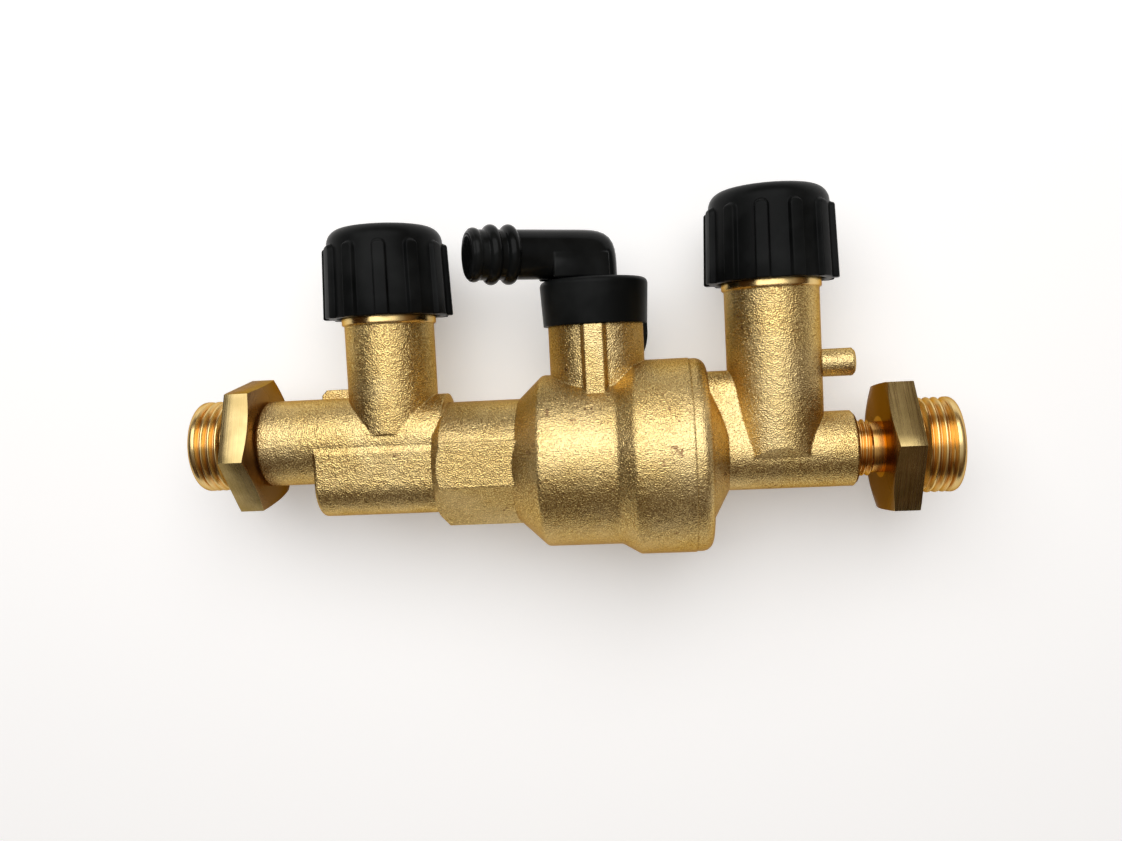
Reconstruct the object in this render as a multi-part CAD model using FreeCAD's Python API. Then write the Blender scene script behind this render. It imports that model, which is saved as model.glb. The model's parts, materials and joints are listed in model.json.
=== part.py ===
import FreeCAD, Part
import math
import os

# Filling valve with two non-return valves and a vented chamber between them, in millimetres.
# It lies on its back. X runs along the pipe from the outlet to the inlet, Y towards the knobs,
# Z up. The origin is on the chamber's axis, where the inlet nipple's thread reaches full size.

# Threaded nipples: 3/8 inch pipe thread outside, M10 x 1 inside, 22 mm spanner size
thread_r = 8.331
thread_length = 7.75
thread_end_round = 1.1
thread_undercut_depth = 0.781
thread_undercut_length = 1.5
hex_across_flats = 22.0
hex_thickness = 4.85
hex_chamfer_angle = 30.0
shank_r = 5.0
shank_length = 11.0
shank_relief_depth = 0.45
shank_relief_length = 2.2
nipple_mouth_wall = 2.331
nipple_mouth_depth = 5.0
nipple_bore_r = 3.3
outlet_hex_turn = -20.3
inlet_hex_turn = 24.5
shank_clearance = 0.05
inlet_nipple_gap = 4.45

# Distances along the pipe, each from the feature before it, starting at the inlet
inlet_tube_to_tower = 13.2
inlet_tower_to_seam = 15.05
big_length = 9.7
big_cone_length = 3.2
middle_length = 13.2
small_cone_length = 5.2
octagon_length = 14.0
octagon_to_tower = 8.5
tower_to_passage_boss = 13.25
tower_to_outlet_tube = 23.75
seam_to_port = 16.15

# Outer radii and heights of the two castings
big_r = 17.34
middle_r = 15.45
shell_edge_round = 1.3
octagon_across_flats = 21.6
octagon_corner_cut = 7.7
octagon_end_chamfer = 1.6
octagon_ledge_y = 4.7
upper_round_r = 11.4
outlet_axis_y = 5.2
outlet_tube_r = 7.85
tube_end_chamfer = 0.5
boss_half_depth = 8.2
boss_bottom_y = -8.4
boss_corner_r = 6.2
boss_blend_y = 3.4
boss_blend_rise = 1.2
boss_blend_depth = 0.5
boss_edge_round = 0.8
lug_length = 8.0
lug_top_y = 14.6
lug_thickness = 3.2
lug_front_z = -4.2
lug_to_tower = 15.0
lug_corner_chamfer = 1.0
flange_inset = 0.14
flange_length = 3.0
flange_edge_round = 2.0
back_face_inset = 4.6
back_cone_r = 7.0
back_cone_length = 3.1
inlet_tube_r = 6.68
neck_top_r = 4.2
neck_top_y = 10.5
inlet_tower_r = 8.26
outlet_tower_inset = 0.17
tower_rim_height = 2.3
tower_rim_step = 0.42
outlet_foot_y = 6.6
inlet_foot_y = 1.1
guide_pin_r = 2.45
guide_pin_y = 15.2
guide_pin_reach = 13.8
guide_pin_chamfer = 0.4

# Discharge port on the chamber
port_r = 8.5
port_shoulder_y = 24.0
port_rim_inset = 1.0
port_rim_length = 4.7
port_bore_r = 5.2
port_rib_width = 3.1
port_rib_height = 1.1
port_rib_slope = 0.8

# Inner bores of the two castings
chamber_bore_r = 13.6
chamber_bore_depth = 11.7
vent_bore_r = 12.4
vent_floor_depth = 24.9
check_bore_r = 8.0
check_bore_length = 14.6
low_passage_r = 3.5
low_passage_y = -3.2
low_passage_end = 4.6
outlet_bore_r = 3.4
inlet_bore_r = 3.2
inlet_bore_past_tower = 5.2
neck_passage_r = 2.7
neck_passage_low_y = 7.6
neck_passage_high_y = 10.0
spigot_length = 6.5
spigot_clearance = 0.06
piston_bore_r = 11.5
piston_bore_floor = 1.4
cup_r = 9.0
cup_depth = 2.6
nipple_end_gap = 0.4

# Tap kit, the same in both towers; heights are counted from the valve seat
outlet_seat_y = 1.9
inlet_seat_y = 4.4
seat_to_tower_top = 26.4
seat_hole_r = 3.0
tower_bore_r = 5.9
tap_lift = 3.0
washer_r = 4.4
washer_thickness = 2.0
washer_hole_clearance = 0.08
seal_gap = 0.05
holder_plate_r = 4.7
holder_plate_thickness = 1.6
holder_stub_r = 1.42
holder_stub_length = 1.5
holder_key_across_flats = 7.0
holder_key_gap = 1.1
holder_thread_clearance = 0.2
holder_bore_floor = 5.0
bonnet_clearance = 0.05
bonnet_gap = 3.35
bonnet_key_clearance = 0.15
bonnet_key_drop = 7.6
bonnet_head_across_flats = 12.0
bonnet_head_height = 2.4
bonnet_bore_r = 2.5
spindle_thread_r = 2.0
spindle_end_gap = 0.3
spindle_end_chamfer = 0.5
spindle_collar_drop = 7.8
spindle_collar_height = 1.5
spindle_collar_clearance = 0.2
journal_clearance = 0.06
spindle_reach = 11.2
spindle_groove_drop = 4.4
oring_groove_width = 1.2
spindle_groove_depth = 0.84
bonnet_groove_drop = 2.0
bonnet_groove_depth = 1.15

# Knob, the same on both taps; heights are counted from its bottom edge
knob_skirt = 0.97
knob_height = 16.4
knob_gap = 0.62
knob_draft = 0.35
knob_shoulder_round = 2.8
knob_crown = 0.35
knob_wall = 1.45
knob_roof = 2.0
knob_hub_r = 4.2
knob_hub_bottom = 4.4
knob_rib_count = 12
knob_rib_width = 2.2
knob_rib_bottom_reach = 0.95
knob_rib_top_reach = 0.85
knob_rib_length = 12.4
knob_rib_slope = 1.5
outlet_knob_turn = 9.3
inlet_knob_turn = -13.3

# Discharge elbow and the collar that holds it
collar_wall = 1.65
collar_flare = 0.4
collar_above_port = 3.3
collar_edge_round = 1.0
collar_roof = 1.4
collar_wall_gap = 0.15
collar_hole_r = 5.5
elbow_stem_clearance = 0.3
tongue_half_width = 9.3
tongue_drop = 1.3
tongue_thickness = 1.3
tongue_gap = 0.35
tongue_window_width = 7.0
tongue_window_height = 3.0
catch_clearance = 0.35
catch_recess = 0.3
catch_chamfer = 0.3
tongue_top_round = 5.0
elbow_turn = 25.0
elbow_axis_above_collar = 4.6
elbow_r = 4.33
elbow_reach = 23.0
elbow_outer_round = 3.4
elbow_tip_land = 0.3
elbow_bore_r = 3.3
elbow_foot_clearance = 0.2
elbow_foot_thickness = 1.5
elbow_foot_gap = 0.15
elbow_spigot_clearance = 0.08
elbow_spigot_length = 8.6
elbow_groove_height = 3.0
elbow_groove_depth = 0.85
elbow_flat_from = -1.5
elbow_flat_to = 8.8
lip_from_tip = 1.1
lip_r = 4.65
barbs_from_tip = (4.15, 7.35)
barb_peak_r = 5.2
barb_round = 1.15

# Vent piston between the two non-return valves
piston_clearance = 0.08
piston_floor_gap = 0.3
piston_length = 6.4
piston_nose_wall = 0.2
cartridge_rim_height = 2.3
piston_groove_offset = 3.2
piston_travel = 2.8
vent_seal_inner_lip = 0.4
vent_seal_width = 1.4
vent_seal_thickness = 1.2
vent_seal_proud = 0.5
vent_closed_gap = 0.1
vent_spring_clearance = 0.9
vent_spring_wire_r = 0.5
vent_spring_turns = 5

# Non-return valve kit, the same in the piston and in the cartridge
check_seat_offset = 2.0
check_seat_thickness = 1.2
check_seat_overlap = 1.1
poppet_flow_gap = 1.3
poppet_thickness = 1.3
poppet_seal_thickness = 0.9
poppet_stem_r = 1.2
poppet_stem_length = 10.8
poppet_travel = 2.6
guide_offset = 10.0
guide_thickness = 1.4
guide_hub_gap = 0.5
guide_arm_width = 1.6
guide_arm_count = 3
guide_stem_clearance = 0.1
guide_rim_width = 1.0
check_spring_inset = 0.5
check_spring_wire_r = 0.3
check_spring_turns = 5
cartridge_clearance = 0.05
cartridge_wall = 1.95
cartridge_flange_margin = 0.2
cartridge_flange_thickness = 1.6
cartridge_rim_outer_inset = 0.2
cartridge_rim_inner_inset = 0.1
cartridge_groove_offset = 6.0
cartridge_groove_depth = 0.97
spring_end_gap = 0.1
spring_turn_gap = 0.03
spring_runs_per_turn = 16
spring_wire_sides = 8

# Seals and strainer
piston_seal_r = 0.55
body_seal_r = 0.6
body_groove_offset = 3.6
strainer_clearance = 0.25
strainer_wall = 0.4
strainer_end_gap = 1.55
strainer_slot_count = 6
strainer_slot_width = 0.9
strainer_slot_margin = 1.5
strainer_gap = 0.3

# Stations along X and heights along Y, worked out from the sizes above
inlet_end_x = thread_end_round
inlet_tube_x = inlet_end_x - thread_length - hex_thickness - inlet_nipple_gap
inlet_tower_x = inlet_tube_x - inlet_tube_to_tower
seam_x = inlet_tower_x - inlet_tower_to_seam
big_end_x = seam_x - big_length
middle_start_x = big_end_x - big_cone_length
middle_end_x = middle_start_x - middle_length
octagon_start_x = middle_end_x - small_cone_length
octagon_end_x = octagon_start_x - octagon_length
outlet_tower_x = octagon_end_x - octagon_to_tower
boss_end_x = outlet_tower_x - tower_to_passage_boss
outlet_tube_x = outlet_tower_x - tower_to_outlet_tube
outlet_end_x = outlet_tube_x - hex_thickness - thread_length
port_x = seam_x - seam_to_port
vent_floor_x = seam_x - vent_floor_depth
check_bore_end_x = vent_floor_x - check_bore_length
outlet_tower_top_y = outlet_seat_y + seat_to_tower_top
inlet_tower_top_y = inlet_seat_y + seat_to_tower_top
piston_floor_x = seam_x + piston_bore_floor
piston_right_x = piston_floor_x - piston_floor_gap
piston_shoulder_x = piston_right_x - piston_length
cartridge_rim_x = vent_floor_x + cartridge_flange_thickness + cartridge_rim_height
piston_face_x = cartridge_rim_x + vent_closed_gap + piston_travel + vent_seal_proud
port_top_y = port_shoulder_y + port_rim_length
collar_top_y = port_top_y + collar_above_port
elbow_axis_y = collar_top_y + elbow_axis_above_collar
tongue_centre_y = port_shoulder_y - tongue_drop

# Heights of the tap kit above the valve seat
spindle_collar_top = seat_to_tower_top - spindle_collar_drop
spindle_collar_bottom = spindle_collar_top - spindle_collar_height
spindle_groove_height = seat_to_tower_top - spindle_groove_drop
spindle_top = seat_to_tower_top + spindle_reach
bonnet_bottom = seal_gap + washer_thickness + holder_plate_thickness + tap_lift + bonnet_gap
bonnet_key_top = seat_to_tower_top - bonnet_key_drop
bonnet_groove_height = seat_to_tower_top - bonnet_groove_drop
holder_key_top = spindle_collar_bottom - tap_lift - holder_key_gap
seat_to_knob = seat_to_tower_top - knob_skirt

# Radii that follow from the pieces they fit
thread_undercut_r = thread_r - thread_undercut_depth
nipple_mouth_r = thread_r - nipple_mouth_wall
shank_relief_r = shank_r - shank_relief_depth
flange_r = big_r - flange_inset
back_face_r = flange_r - back_face_inset
outlet_tower_r = inlet_tower_r - outlet_tower_inset
washer_hole_r = holder_stub_r + washer_hole_clearance
holder_bore_r = spindle_thread_r + holder_thread_clearance
spindle_collar_r = holder_key_across_flats / 2 - spindle_collar_clearance
journal_r = bonnet_bore_r - journal_clearance
spindle_groove_r = journal_r - spindle_groove_depth
bonnet_r = tower_bore_r - bonnet_clearance
bonnet_groove_r = bonnet_r - bonnet_groove_depth
knob_bottom_r = inlet_tower_r + tower_rim_step + knob_gap + knob_wall
knob_top_r = knob_bottom_r - knob_draft
port_rim_r = port_r - port_rim_inset
collar_bottom_r = port_rim_r + collar_wall_gap + collar_wall
collar_top_r = collar_bottom_r + collar_flare
elbow_foot_r = port_rim_r - elbow_foot_clearance
strainer_r = inlet_bore_r - strainer_clearance
check_inner_r = check_bore_r - cartridge_clearance - cartridge_wall
poppet_r = check_inner_r - poppet_flow_gap
check_seat_hole_r = poppet_r - check_seat_overlap
check_spring_r = check_seat_hole_r - check_spring_inset
guide_hub_r = check_spring_r - check_spring_wire_r - guide_hub_gap
vent_seal_inner_r = check_inner_r + vent_seal_inner_lip
vent_seal_outer_r = vent_seal_inner_r + vent_seal_width
piston_nose_r = vent_seal_outer_r + piston_nose_wall
vent_spring_r = piston_nose_r + vent_spring_clearance + vent_spring_wire_r
cartridge_r = check_bore_r - cartridge_clearance
cartridge_flange_r = vent_spring_r + cartridge_flange_margin
cartridge_rim_r = vent_seal_outer_r - cartridge_rim_outer_inset
cartridge_rim_inner_r = vent_seal_inner_r + cartridge_rim_inner_inset
cartridge_groove_r = cartridge_r - cartridge_groove_depth

Vector = FreeCAD.Vector
along_x = Vector(1, 0, 0)
along_y = Vector(0, 1, 0)
along_z = Vector(0, 0, 1)
full_turn = 360.0
hexagon_sides = 6
# How far a cutting shape runs past the face it opens, and how near two places count as one
past = 1.0
tiny = 0.01


def rod_x(radius, x_from, x_to, y=0.0, z=0.0):
    return Part.makeCylinder(radius, abs(x_to - x_from), Vector(min(x_from, x_to), y, z), along_x)


def rod_y(radius, y_from, y_to, x, z=0.0):
    return Part.makeCylinder(radius, abs(y_to - y_from), Vector(x, min(y_from, y_to), z), along_y)


def block(x_from, x_to, y_from, y_to, z_from, z_to):
    low = Vector(min(x_from, x_to), min(y_from, y_to), min(z_from, z_to))
    return Part.makeBox(abs(x_to - x_from), abs(y_to - y_from), abs(z_to - z_from), low)


def turned_x(outline, y=0.0):
    """Turn an outline of (x, radius) points about an axis along X."""
    points = [Vector(x, y + radius, 0) for x, radius in outline]
    face = Part.Face(Part.makePolygon(points + points[:1]))
    return face.revolve(Vector(0, y, 0), along_x, full_turn)


def turned_y(outline, x):
    """Turn an outline of (radius, y) points about an axis along Y."""
    points = [Vector(x + radius, y, 0) for radius, y in outline]
    face = Part.Face(Part.makePolygon(points + points[:1]))
    return face.revolve(Vector(x, 0, 0), along_y, full_turn)


def ring_x(ring_r, wire_r, x, y=0.0):
    return Part.makeTorus(ring_r, wire_r, Vector(x, y, 0), along_x)


def ring_y(ring_r, wire_r, x, y):
    return Part.makeTorus(ring_r, wire_r, Vector(x, y, 0), along_y)


def ring_groove(surface_r, floor_r, y, x):
    """The space of a seal's groove in a shaft along Y, from its floor to past its surface."""
    half = oring_groove_width / 2
    space = rod_y(surface_r + past, y - half, y + half, x)
    return space.cut(rod_y(floor_r, y - past, y + past, x))


def joined(shapes):
    return shapes[0].fuse(shapes[1:])


def hexagon_corner_r(across_flats):
    return across_flats / 2 / math.cos(math.pi / hexagon_sides)


def hexagon_corners(across_flats, turn):
    corner_r = hexagon_corner_r(across_flats)
    angles = [math.radians(turn + full_turn * step / hexagon_sides) for step in range(hexagon_sides)]
    return [(corner_r * math.cos(angle), corner_r * math.sin(angle)) for angle in angles]


def hexagon_x(across_flats, turn, x_from, x_to, y):
    low = min(x_from, x_to)
    points = [Vector(low, y + up, front) for up, front in hexagon_corners(across_flats, turn)]
    face = Part.Face(Part.makePolygon(points + points[:1]))
    return face.extrude(Vector(abs(x_to - x_from), 0, 0))


def hexagon_y(across_flats, turn, y_from, y_to, x):
    low = min(y_from, y_to)
    points = [Vector(x + side, low, front) for side, front in hexagon_corners(across_flats, turn)]
    face = Part.Face(Part.makePolygon(points + points[:1]))
    return face.extrude(Vector(0, abs(y_to - y_from), 0))


def upright_oval_x(low_r, low_y, high_r, high_y, x_from, x_to):
    """A bar along X whose section is two circles, one above the other, with tangent sides."""
    lean = math.asin((low_r - high_r) / (high_y - low_y))
    low = Vector(0, low_y + low_r * math.sin(lean), low_r * math.cos(lean))
    high = Vector(0, high_y + high_r * math.sin(lean), high_r * math.cos(lean))
    low_back = Vector(0, low.y, -low.z)
    high_back = Vector(0, high.y, -high.z)
    foot = Vector(0, low_y - low_r, 0)
    crown = Vector(0, high_y + high_r, 0)
    edges = [
        Part.Arc(low_back, foot, low).toShape(),
        Part.LineSegment(low, high).toShape(),
        Part.Arc(high, crown, high_back).toShape(),
        Part.LineSegment(high_back, low_back).toShape(),
    ]
    bar = Part.Face(Part.Wire(edges)).extrude(Vector(abs(x_to - x_from), 0, 0))
    bar.translate(Vector(min(x_from, x_to), 0, 0))
    return bar


def round_edges(solid):
    return [edge for edge in solid.Edges if isinstance(edge.Curve, Part.Circle)]


def circles_at(solid, x_values):
    """The round edges of a turned solid that lie in one of the planes at x_values."""
    found = []
    for edge in solid.Edges:
        box = edge.BoundBox
        if box.XLength < tiny and any(abs(box.XMin - x) < tiny for x in x_values):
            found.append(edge)
    return found


def coil_point(ring_r, wire_r, x_from, x_to, turns, turn):
    """A point of a spring's centre line, where turn counts the turns from its left end."""
    rise = x_from - x_to - 2 * wire_r
    end_rise = 2 * wire_r + spring_turn_gap
    open_rise = (rise - 2 * end_rise) / (turns - 2)
    if turn < 1:
        height = end_rise * turn
    elif turn > turns - 1:
        height = rise - end_rise * (turns - turn)
    else:
        height = end_rise + open_rise * (turn - 1)
    angle = 2 * math.pi * turn
    return Vector(x_to + wire_r + height, ring_r * math.cos(angle), ring_r * math.sin(angle))


def coil_x(ring_r, wire_r, x_from, x_to, turns):
    """A compression spring with a closed turn at each end, in short straight runs of wire."""
    runs = turns * spring_runs_per_turn
    points = [coil_point(ring_r, wire_r, x_from, x_to, turns, run / spring_runs_per_turn)
              for run in range(runs + 1)]
    along = (points[1] - points[0]).normalize()
    side = along.cross(along_y).normalize()
    out = side.cross(along)
    corners = []
    for corner in range(spring_wire_sides):
        angle = 2 * math.pi * corner / spring_wire_sides
        corners.append(points[0] + out * (wire_r * math.cos(angle)) + side * (wire_r * math.sin(angle)))
    section = Part.makePolygon(corners + corners[:1])
    mitred = 1
    return Part.Wire(Part.makePolygon(points)).makePipeShell([section], True, False, mitred)


def chamber_shell():
    outline = [
        (seam_x, 0),
        (seam_x, big_r),
        (big_end_x, big_r),
        (middle_start_x, middle_r),
        (middle_end_x, middle_r),
        (octagon_start_x, upper_round_r - octagon_end_chamfer / 2),
        (octagon_start_x, 0),
    ]
    shell = turned_x(outline)
    bends = circles_at(shell, [big_end_x, middle_start_x, middle_end_x])
    return shell.makeFillet(shell_edge_round, bends)


def octagon_section():
    """Spanner grip: round above the ledge, eight-sided below it, with a bevelled left end."""
    half = octagon_across_flats / 2
    corner = half - octagon_corner_cut
    points = [
        Vector(octagon_end_x, octagon_ledge_y, half),
        Vector(octagon_end_x, -corner, half),
        Vector(octagon_end_x, -half, corner),
        Vector(octagon_end_x, -half, -corner),
        Vector(octagon_end_x, -corner, -half),
        Vector(octagon_end_x, octagon_ledge_y, -half),
    ]
    grip_end_x = octagon_start_x + octagon_end_chamfer
    face = Part.Face(Part.makePolygon(points + points[:1]))
    lower = face.extrude(Vector(grip_end_x - octagon_end_x, 0, 0))
    round_bar = rod_x(upper_round_r, octagon_end_x, grip_end_x)
    above = block(octagon_end_x, middle_end_x, octagon_ledge_y, big_r, -big_r, big_r)
    grip = joined([lower, round_bar.common(above)])
    envelope = turned_x([
        (octagon_end_x, 0),
        (octagon_end_x, upper_round_r - octagon_end_chamfer),
        (octagon_end_x + octagon_end_chamfer, upper_round_r),
        (octagon_end_x + octagon_end_chamfer, big_r),
        (middle_end_x, big_r),
        (middle_end_x, 0),
    ])
    return grip.common(envelope)


def passage_boss():
    """Low passage to the outlet tap: a round belly, flat sides and upper edges drawn in to the tube."""
    half = boss_half_depth
    side_y = boss_bottom_y + boss_corner_r
    bend = boss_corner_r * (1 - math.cos(math.pi / 4))
    top_y = boss_blend_y + boss_blend_rise
    top_z = half - boss_blend_depth
    flank_z = half - boss_corner_r
    edges = [
        Part.LineSegment(Vector(0, top_y, -top_z), Vector(0, top_y, top_z)).toShape(),
        Part.LineSegment(Vector(0, top_y, top_z), Vector(0, boss_blend_y, half)).toShape(),
        Part.LineSegment(Vector(0, boss_blend_y, half), Vector(0, side_y, half)).toShape(),
        Part.Arc(
            Vector(0, side_y, half),
            Vector(0, boss_bottom_y + bend, half - bend),
            Vector(0, boss_bottom_y, flank_z),
        ).toShape(),
        Part.LineSegment(Vector(0, boss_bottom_y, flank_z), Vector(0, boss_bottom_y, -flank_z)).toShape(),
        Part.Arc(
            Vector(0, boss_bottom_y, -flank_z),
            Vector(0, boss_bottom_y + bend, bend - half),
            Vector(0, side_y, -half),
        ).toShape(),
        Part.LineSegment(Vector(0, side_y, -half), Vector(0, boss_blend_y, -half)).toShape(),
        Part.LineSegment(Vector(0, boss_blend_y, -half), Vector(0, top_y, -top_z)).toShape(),
    ]
    length = octagon_end_x + octagon_end_chamfer - boss_end_x
    boss = Part.Face(Part.Wire(edges)).extrude(Vector(length, 0, 0))
    boss.translate(Vector(boss_end_x, 0, 0))
    end_edges = [edge for edge in circles_at(boss, [boss_end_x])
                 if edge.BoundBox.YMin < boss_blend_y - tiny]
    return boss.makeFillet(boss_edge_round, end_edges)


def tower(x, tower_r, foot_y, top_y):
    """Upright tap tower with a machined rim, and two slanting facets at its foot."""
    column = rod_y(tower_r, foot_y - tower_r / 2, top_y - tower_rim_height, x)
    rim = rod_y(tower_r + tower_rim_step, top_y - tower_rim_height, top_y, x)
    rim = rim.makeChamfer(tower_rim_step / 2, round_edges(rim))
    reach = 2 * tower_r
    outline = [
        Vector(x - reach, foot_y, tower_r),
        Vector(x - reach, foot_y - reach, tower_r - reach),
        Vector(x - reach, foot_y - reach, 2 * tower_r),
        Vector(x - reach, foot_y, 2 * tower_r),
    ]
    front = Part.Face(Part.makePolygon(outline + outline[:1])).extrude(Vector(2 * reach, 0, 0))
    back = front.mirror(Vector(0, 0, 0), along_z)
    return joined([column.cut(front.fuse(back)), rim])


def port_outside():
    neck = rod_y(port_r, 0, port_shoulder_y, port_x)
    rim = rod_y(port_rim_r, port_shoulder_y - port_rib_height, port_top_y, port_x)
    half = port_rib_width / 2
    root = half + port_rib_slope
    front = port_r + port_rib_height
    rib_outline = [
        Vector(port_x - root, middle_r - port_rib_height, 0),
        Vector(port_x - root, middle_r - port_rib_height, port_r - port_rib_height / 2),
        Vector(port_x - half, middle_r - port_rib_height, front),
        Vector(port_x + half, middle_r - port_rib_height, front),
        Vector(port_x + root, middle_r - port_rib_height, port_r - port_rib_height / 2),
        Vector(port_x + root, middle_r - port_rib_height, 0),
    ]
    rib_height = port_shoulder_y - middle_r + port_rib_height - collar_wall_gap
    rib_foot = middle_r - port_rib_height
    face = Part.Face(Part.makePolygon(rib_outline + rib_outline[:1]))
    rib = face.extrude(Vector(0, rib_height, 0))
    face.translate(Vector(0, -rib_foot, 0))
    lower_rib = face.extrude(Vector(0, rib_foot, 0))
    return joined([neck, rim, rib, lower_rib])


def catch_nib():
    """Nib on the back of the port that the collar's tongue snaps over."""
    half = tongue_window_width / 2 - catch_clearance
    top = tongue_centre_y + tongue_window_height / 2 - catch_clearance
    low = tongue_centre_y - tongue_window_height / 2 + catch_clearance
    back = catch_recess - port_r - tongue_gap - tongue_thickness
    nib = block(port_x - half, port_x + half, low, top, back, 0)
    return nib.makeChamfer(catch_chamfer, [edge for edge in nib.Edges if edge.BoundBox.ZMax < back + tiny])


def rear_lug():
    low_x = outlet_tower_x - lug_to_tower
    lug = block(
        low_x, low_x + lug_length,
        outlet_axis_y, lug_top_y,
        lug_front_z - lug_thickness, lug_front_z,
    )
    corner = [edge for edge in lug.Edges if abs(edge.BoundBox.XMax - low_x) < tiny
              and abs(edge.BoundBox.YMin - lug_top_y) < tiny]
    return lug.makeChamfer(lug_corner_chamfer, corner)


def outlet_body_bores():
    nipple_bore_end = outlet_tube_x + shank_length + nipple_end_gap
    return joined([
        rod_x(chamber_bore_r, seam_x + past, seam_x - chamber_bore_depth),
        rod_x(vent_bore_r, seam_x, vent_floor_x),
        rod_x(check_bore_r, seam_x, check_bore_end_x),
        rod_x(low_passage_r, check_bore_end_x + past, outlet_tower_x - low_passage_end, low_passage_y),
        rod_y(seat_hole_r, low_passage_y, outlet_seat_y, outlet_tower_x),
        rod_y(tower_bore_r, outlet_seat_y, outlet_tower_top_y + past, outlet_tower_x),
        rod_x(outlet_bore_r, outlet_tube_x - past, outlet_tower_x, outlet_axis_y),
        rod_x(shank_r + shank_clearance, outlet_tube_x - past, nipple_bore_end, outlet_axis_y),
        rod_y(port_bore_r, 0, port_top_y + past, port_x),
    ])


def outlet_body():
    tube = rod_x(outlet_tube_r, outlet_tube_x, octagon_end_x + octagon_end_chamfer, outlet_axis_y)
    tube = tube.makeChamfer(tube_end_chamfer, circles_at(tube, [outlet_tube_x]))
    outside = joined([
        chamber_shell(),
        octagon_section(),
        passage_boss(),
        tube,
        tower(outlet_tower_x, outlet_tower_r, outlet_foot_y, outlet_tower_top_y),
        port_outside(),
        catch_nib(),
        rear_lug(),
    ])
    return outside.cut(outlet_body_bores())


def inlet_flange():
    cone_x = seam_x + flange_length
    outline = [
        (seam_x, 0),
        (seam_x, flange_r),
        (cone_x, flange_r),
        (cone_x, back_face_r),
        (cone_x + back_cone_length, back_cone_r),
        (cone_x + back_cone_length, 0),
    ]
    flange = turned_x(outline)
    rim = [edge for edge in circles_at(flange, [cone_x]) if edge.BoundBox.YMax > flange_r - tiny]
    return flange.makeFillet(flange_edge_round, rim)


def guide_pin():
    pin = rod_x(guide_pin_r, inlet_tower_x, inlet_tower_x + guide_pin_reach, guide_pin_y)
    return pin.makeChamfer(guide_pin_chamfer, circles_at(pin, [inlet_tower_x + guide_pin_reach]))


def inlet_body_bores():
    bore_end = inlet_tower_x - inlet_bore_past_tower
    socket_end = inlet_tube_x + inlet_nipple_gap - shank_length - nipple_end_gap
    return joined([
        rod_x(piston_bore_r, seam_x - spigot_length - past, piston_floor_x),
        rod_x(cup_r, seam_x, seam_x + cup_depth),
        upright_oval_x(
            neck_passage_r, neck_passage_low_y, neck_passage_r, neck_passage_high_y,
            seam_x + cup_depth - past, inlet_tower_x,
        ),
        rod_x(inlet_bore_r, inlet_tube_x + past, bore_end),
        rod_x(shank_r + shank_clearance, inlet_tube_x + past, socket_end),
        rod_y(seat_hole_r, 0, inlet_seat_y, inlet_tower_x),
        rod_y(tower_bore_r, inlet_seat_y, inlet_tower_top_y + past, inlet_tower_x),
    ])


def inlet_body():
    tube = rod_x(inlet_tube_r, seam_x + flange_length, inlet_tube_x)
    tube = tube.makeChamfer(tube_end_chamfer, circles_at(tube, [inlet_tube_x]))
    neck = upright_oval_x(
        inlet_tube_r, 0, neck_top_r, neck_top_y, seam_x + flange_length - past, inlet_tower_x,
    )
    spigot = rod_x(chamber_bore_r - spigot_clearance, seam_x - spigot_length, seam_x + past)
    outside = joined([
        inlet_flange(),
        tube,
        neck,
        tower(inlet_tower_x, inlet_tower_r, inlet_foot_y, inlet_tower_top_y),
        guide_pin(),
        spigot,
    ])
    groove = body_seal_groove()
    return outside.cut(inlet_body_bores().fuse(groove))


def body_seal_groove():
    x = seam_x - body_groove_offset
    half = oring_groove_width / 2
    outer = rod_x(chamber_bore_r + past, x - half, x + half)
    return outer.cut(rod_x(chamber_bore_r - 2 * body_seal_r, x - half, x + half))


def body_seal():
    ring_r = chamber_bore_r - body_seal_r - spigot_clearance / 2
    return ring_x(ring_r, body_seal_r - spigot_clearance, seam_x - body_groove_offset)


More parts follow.
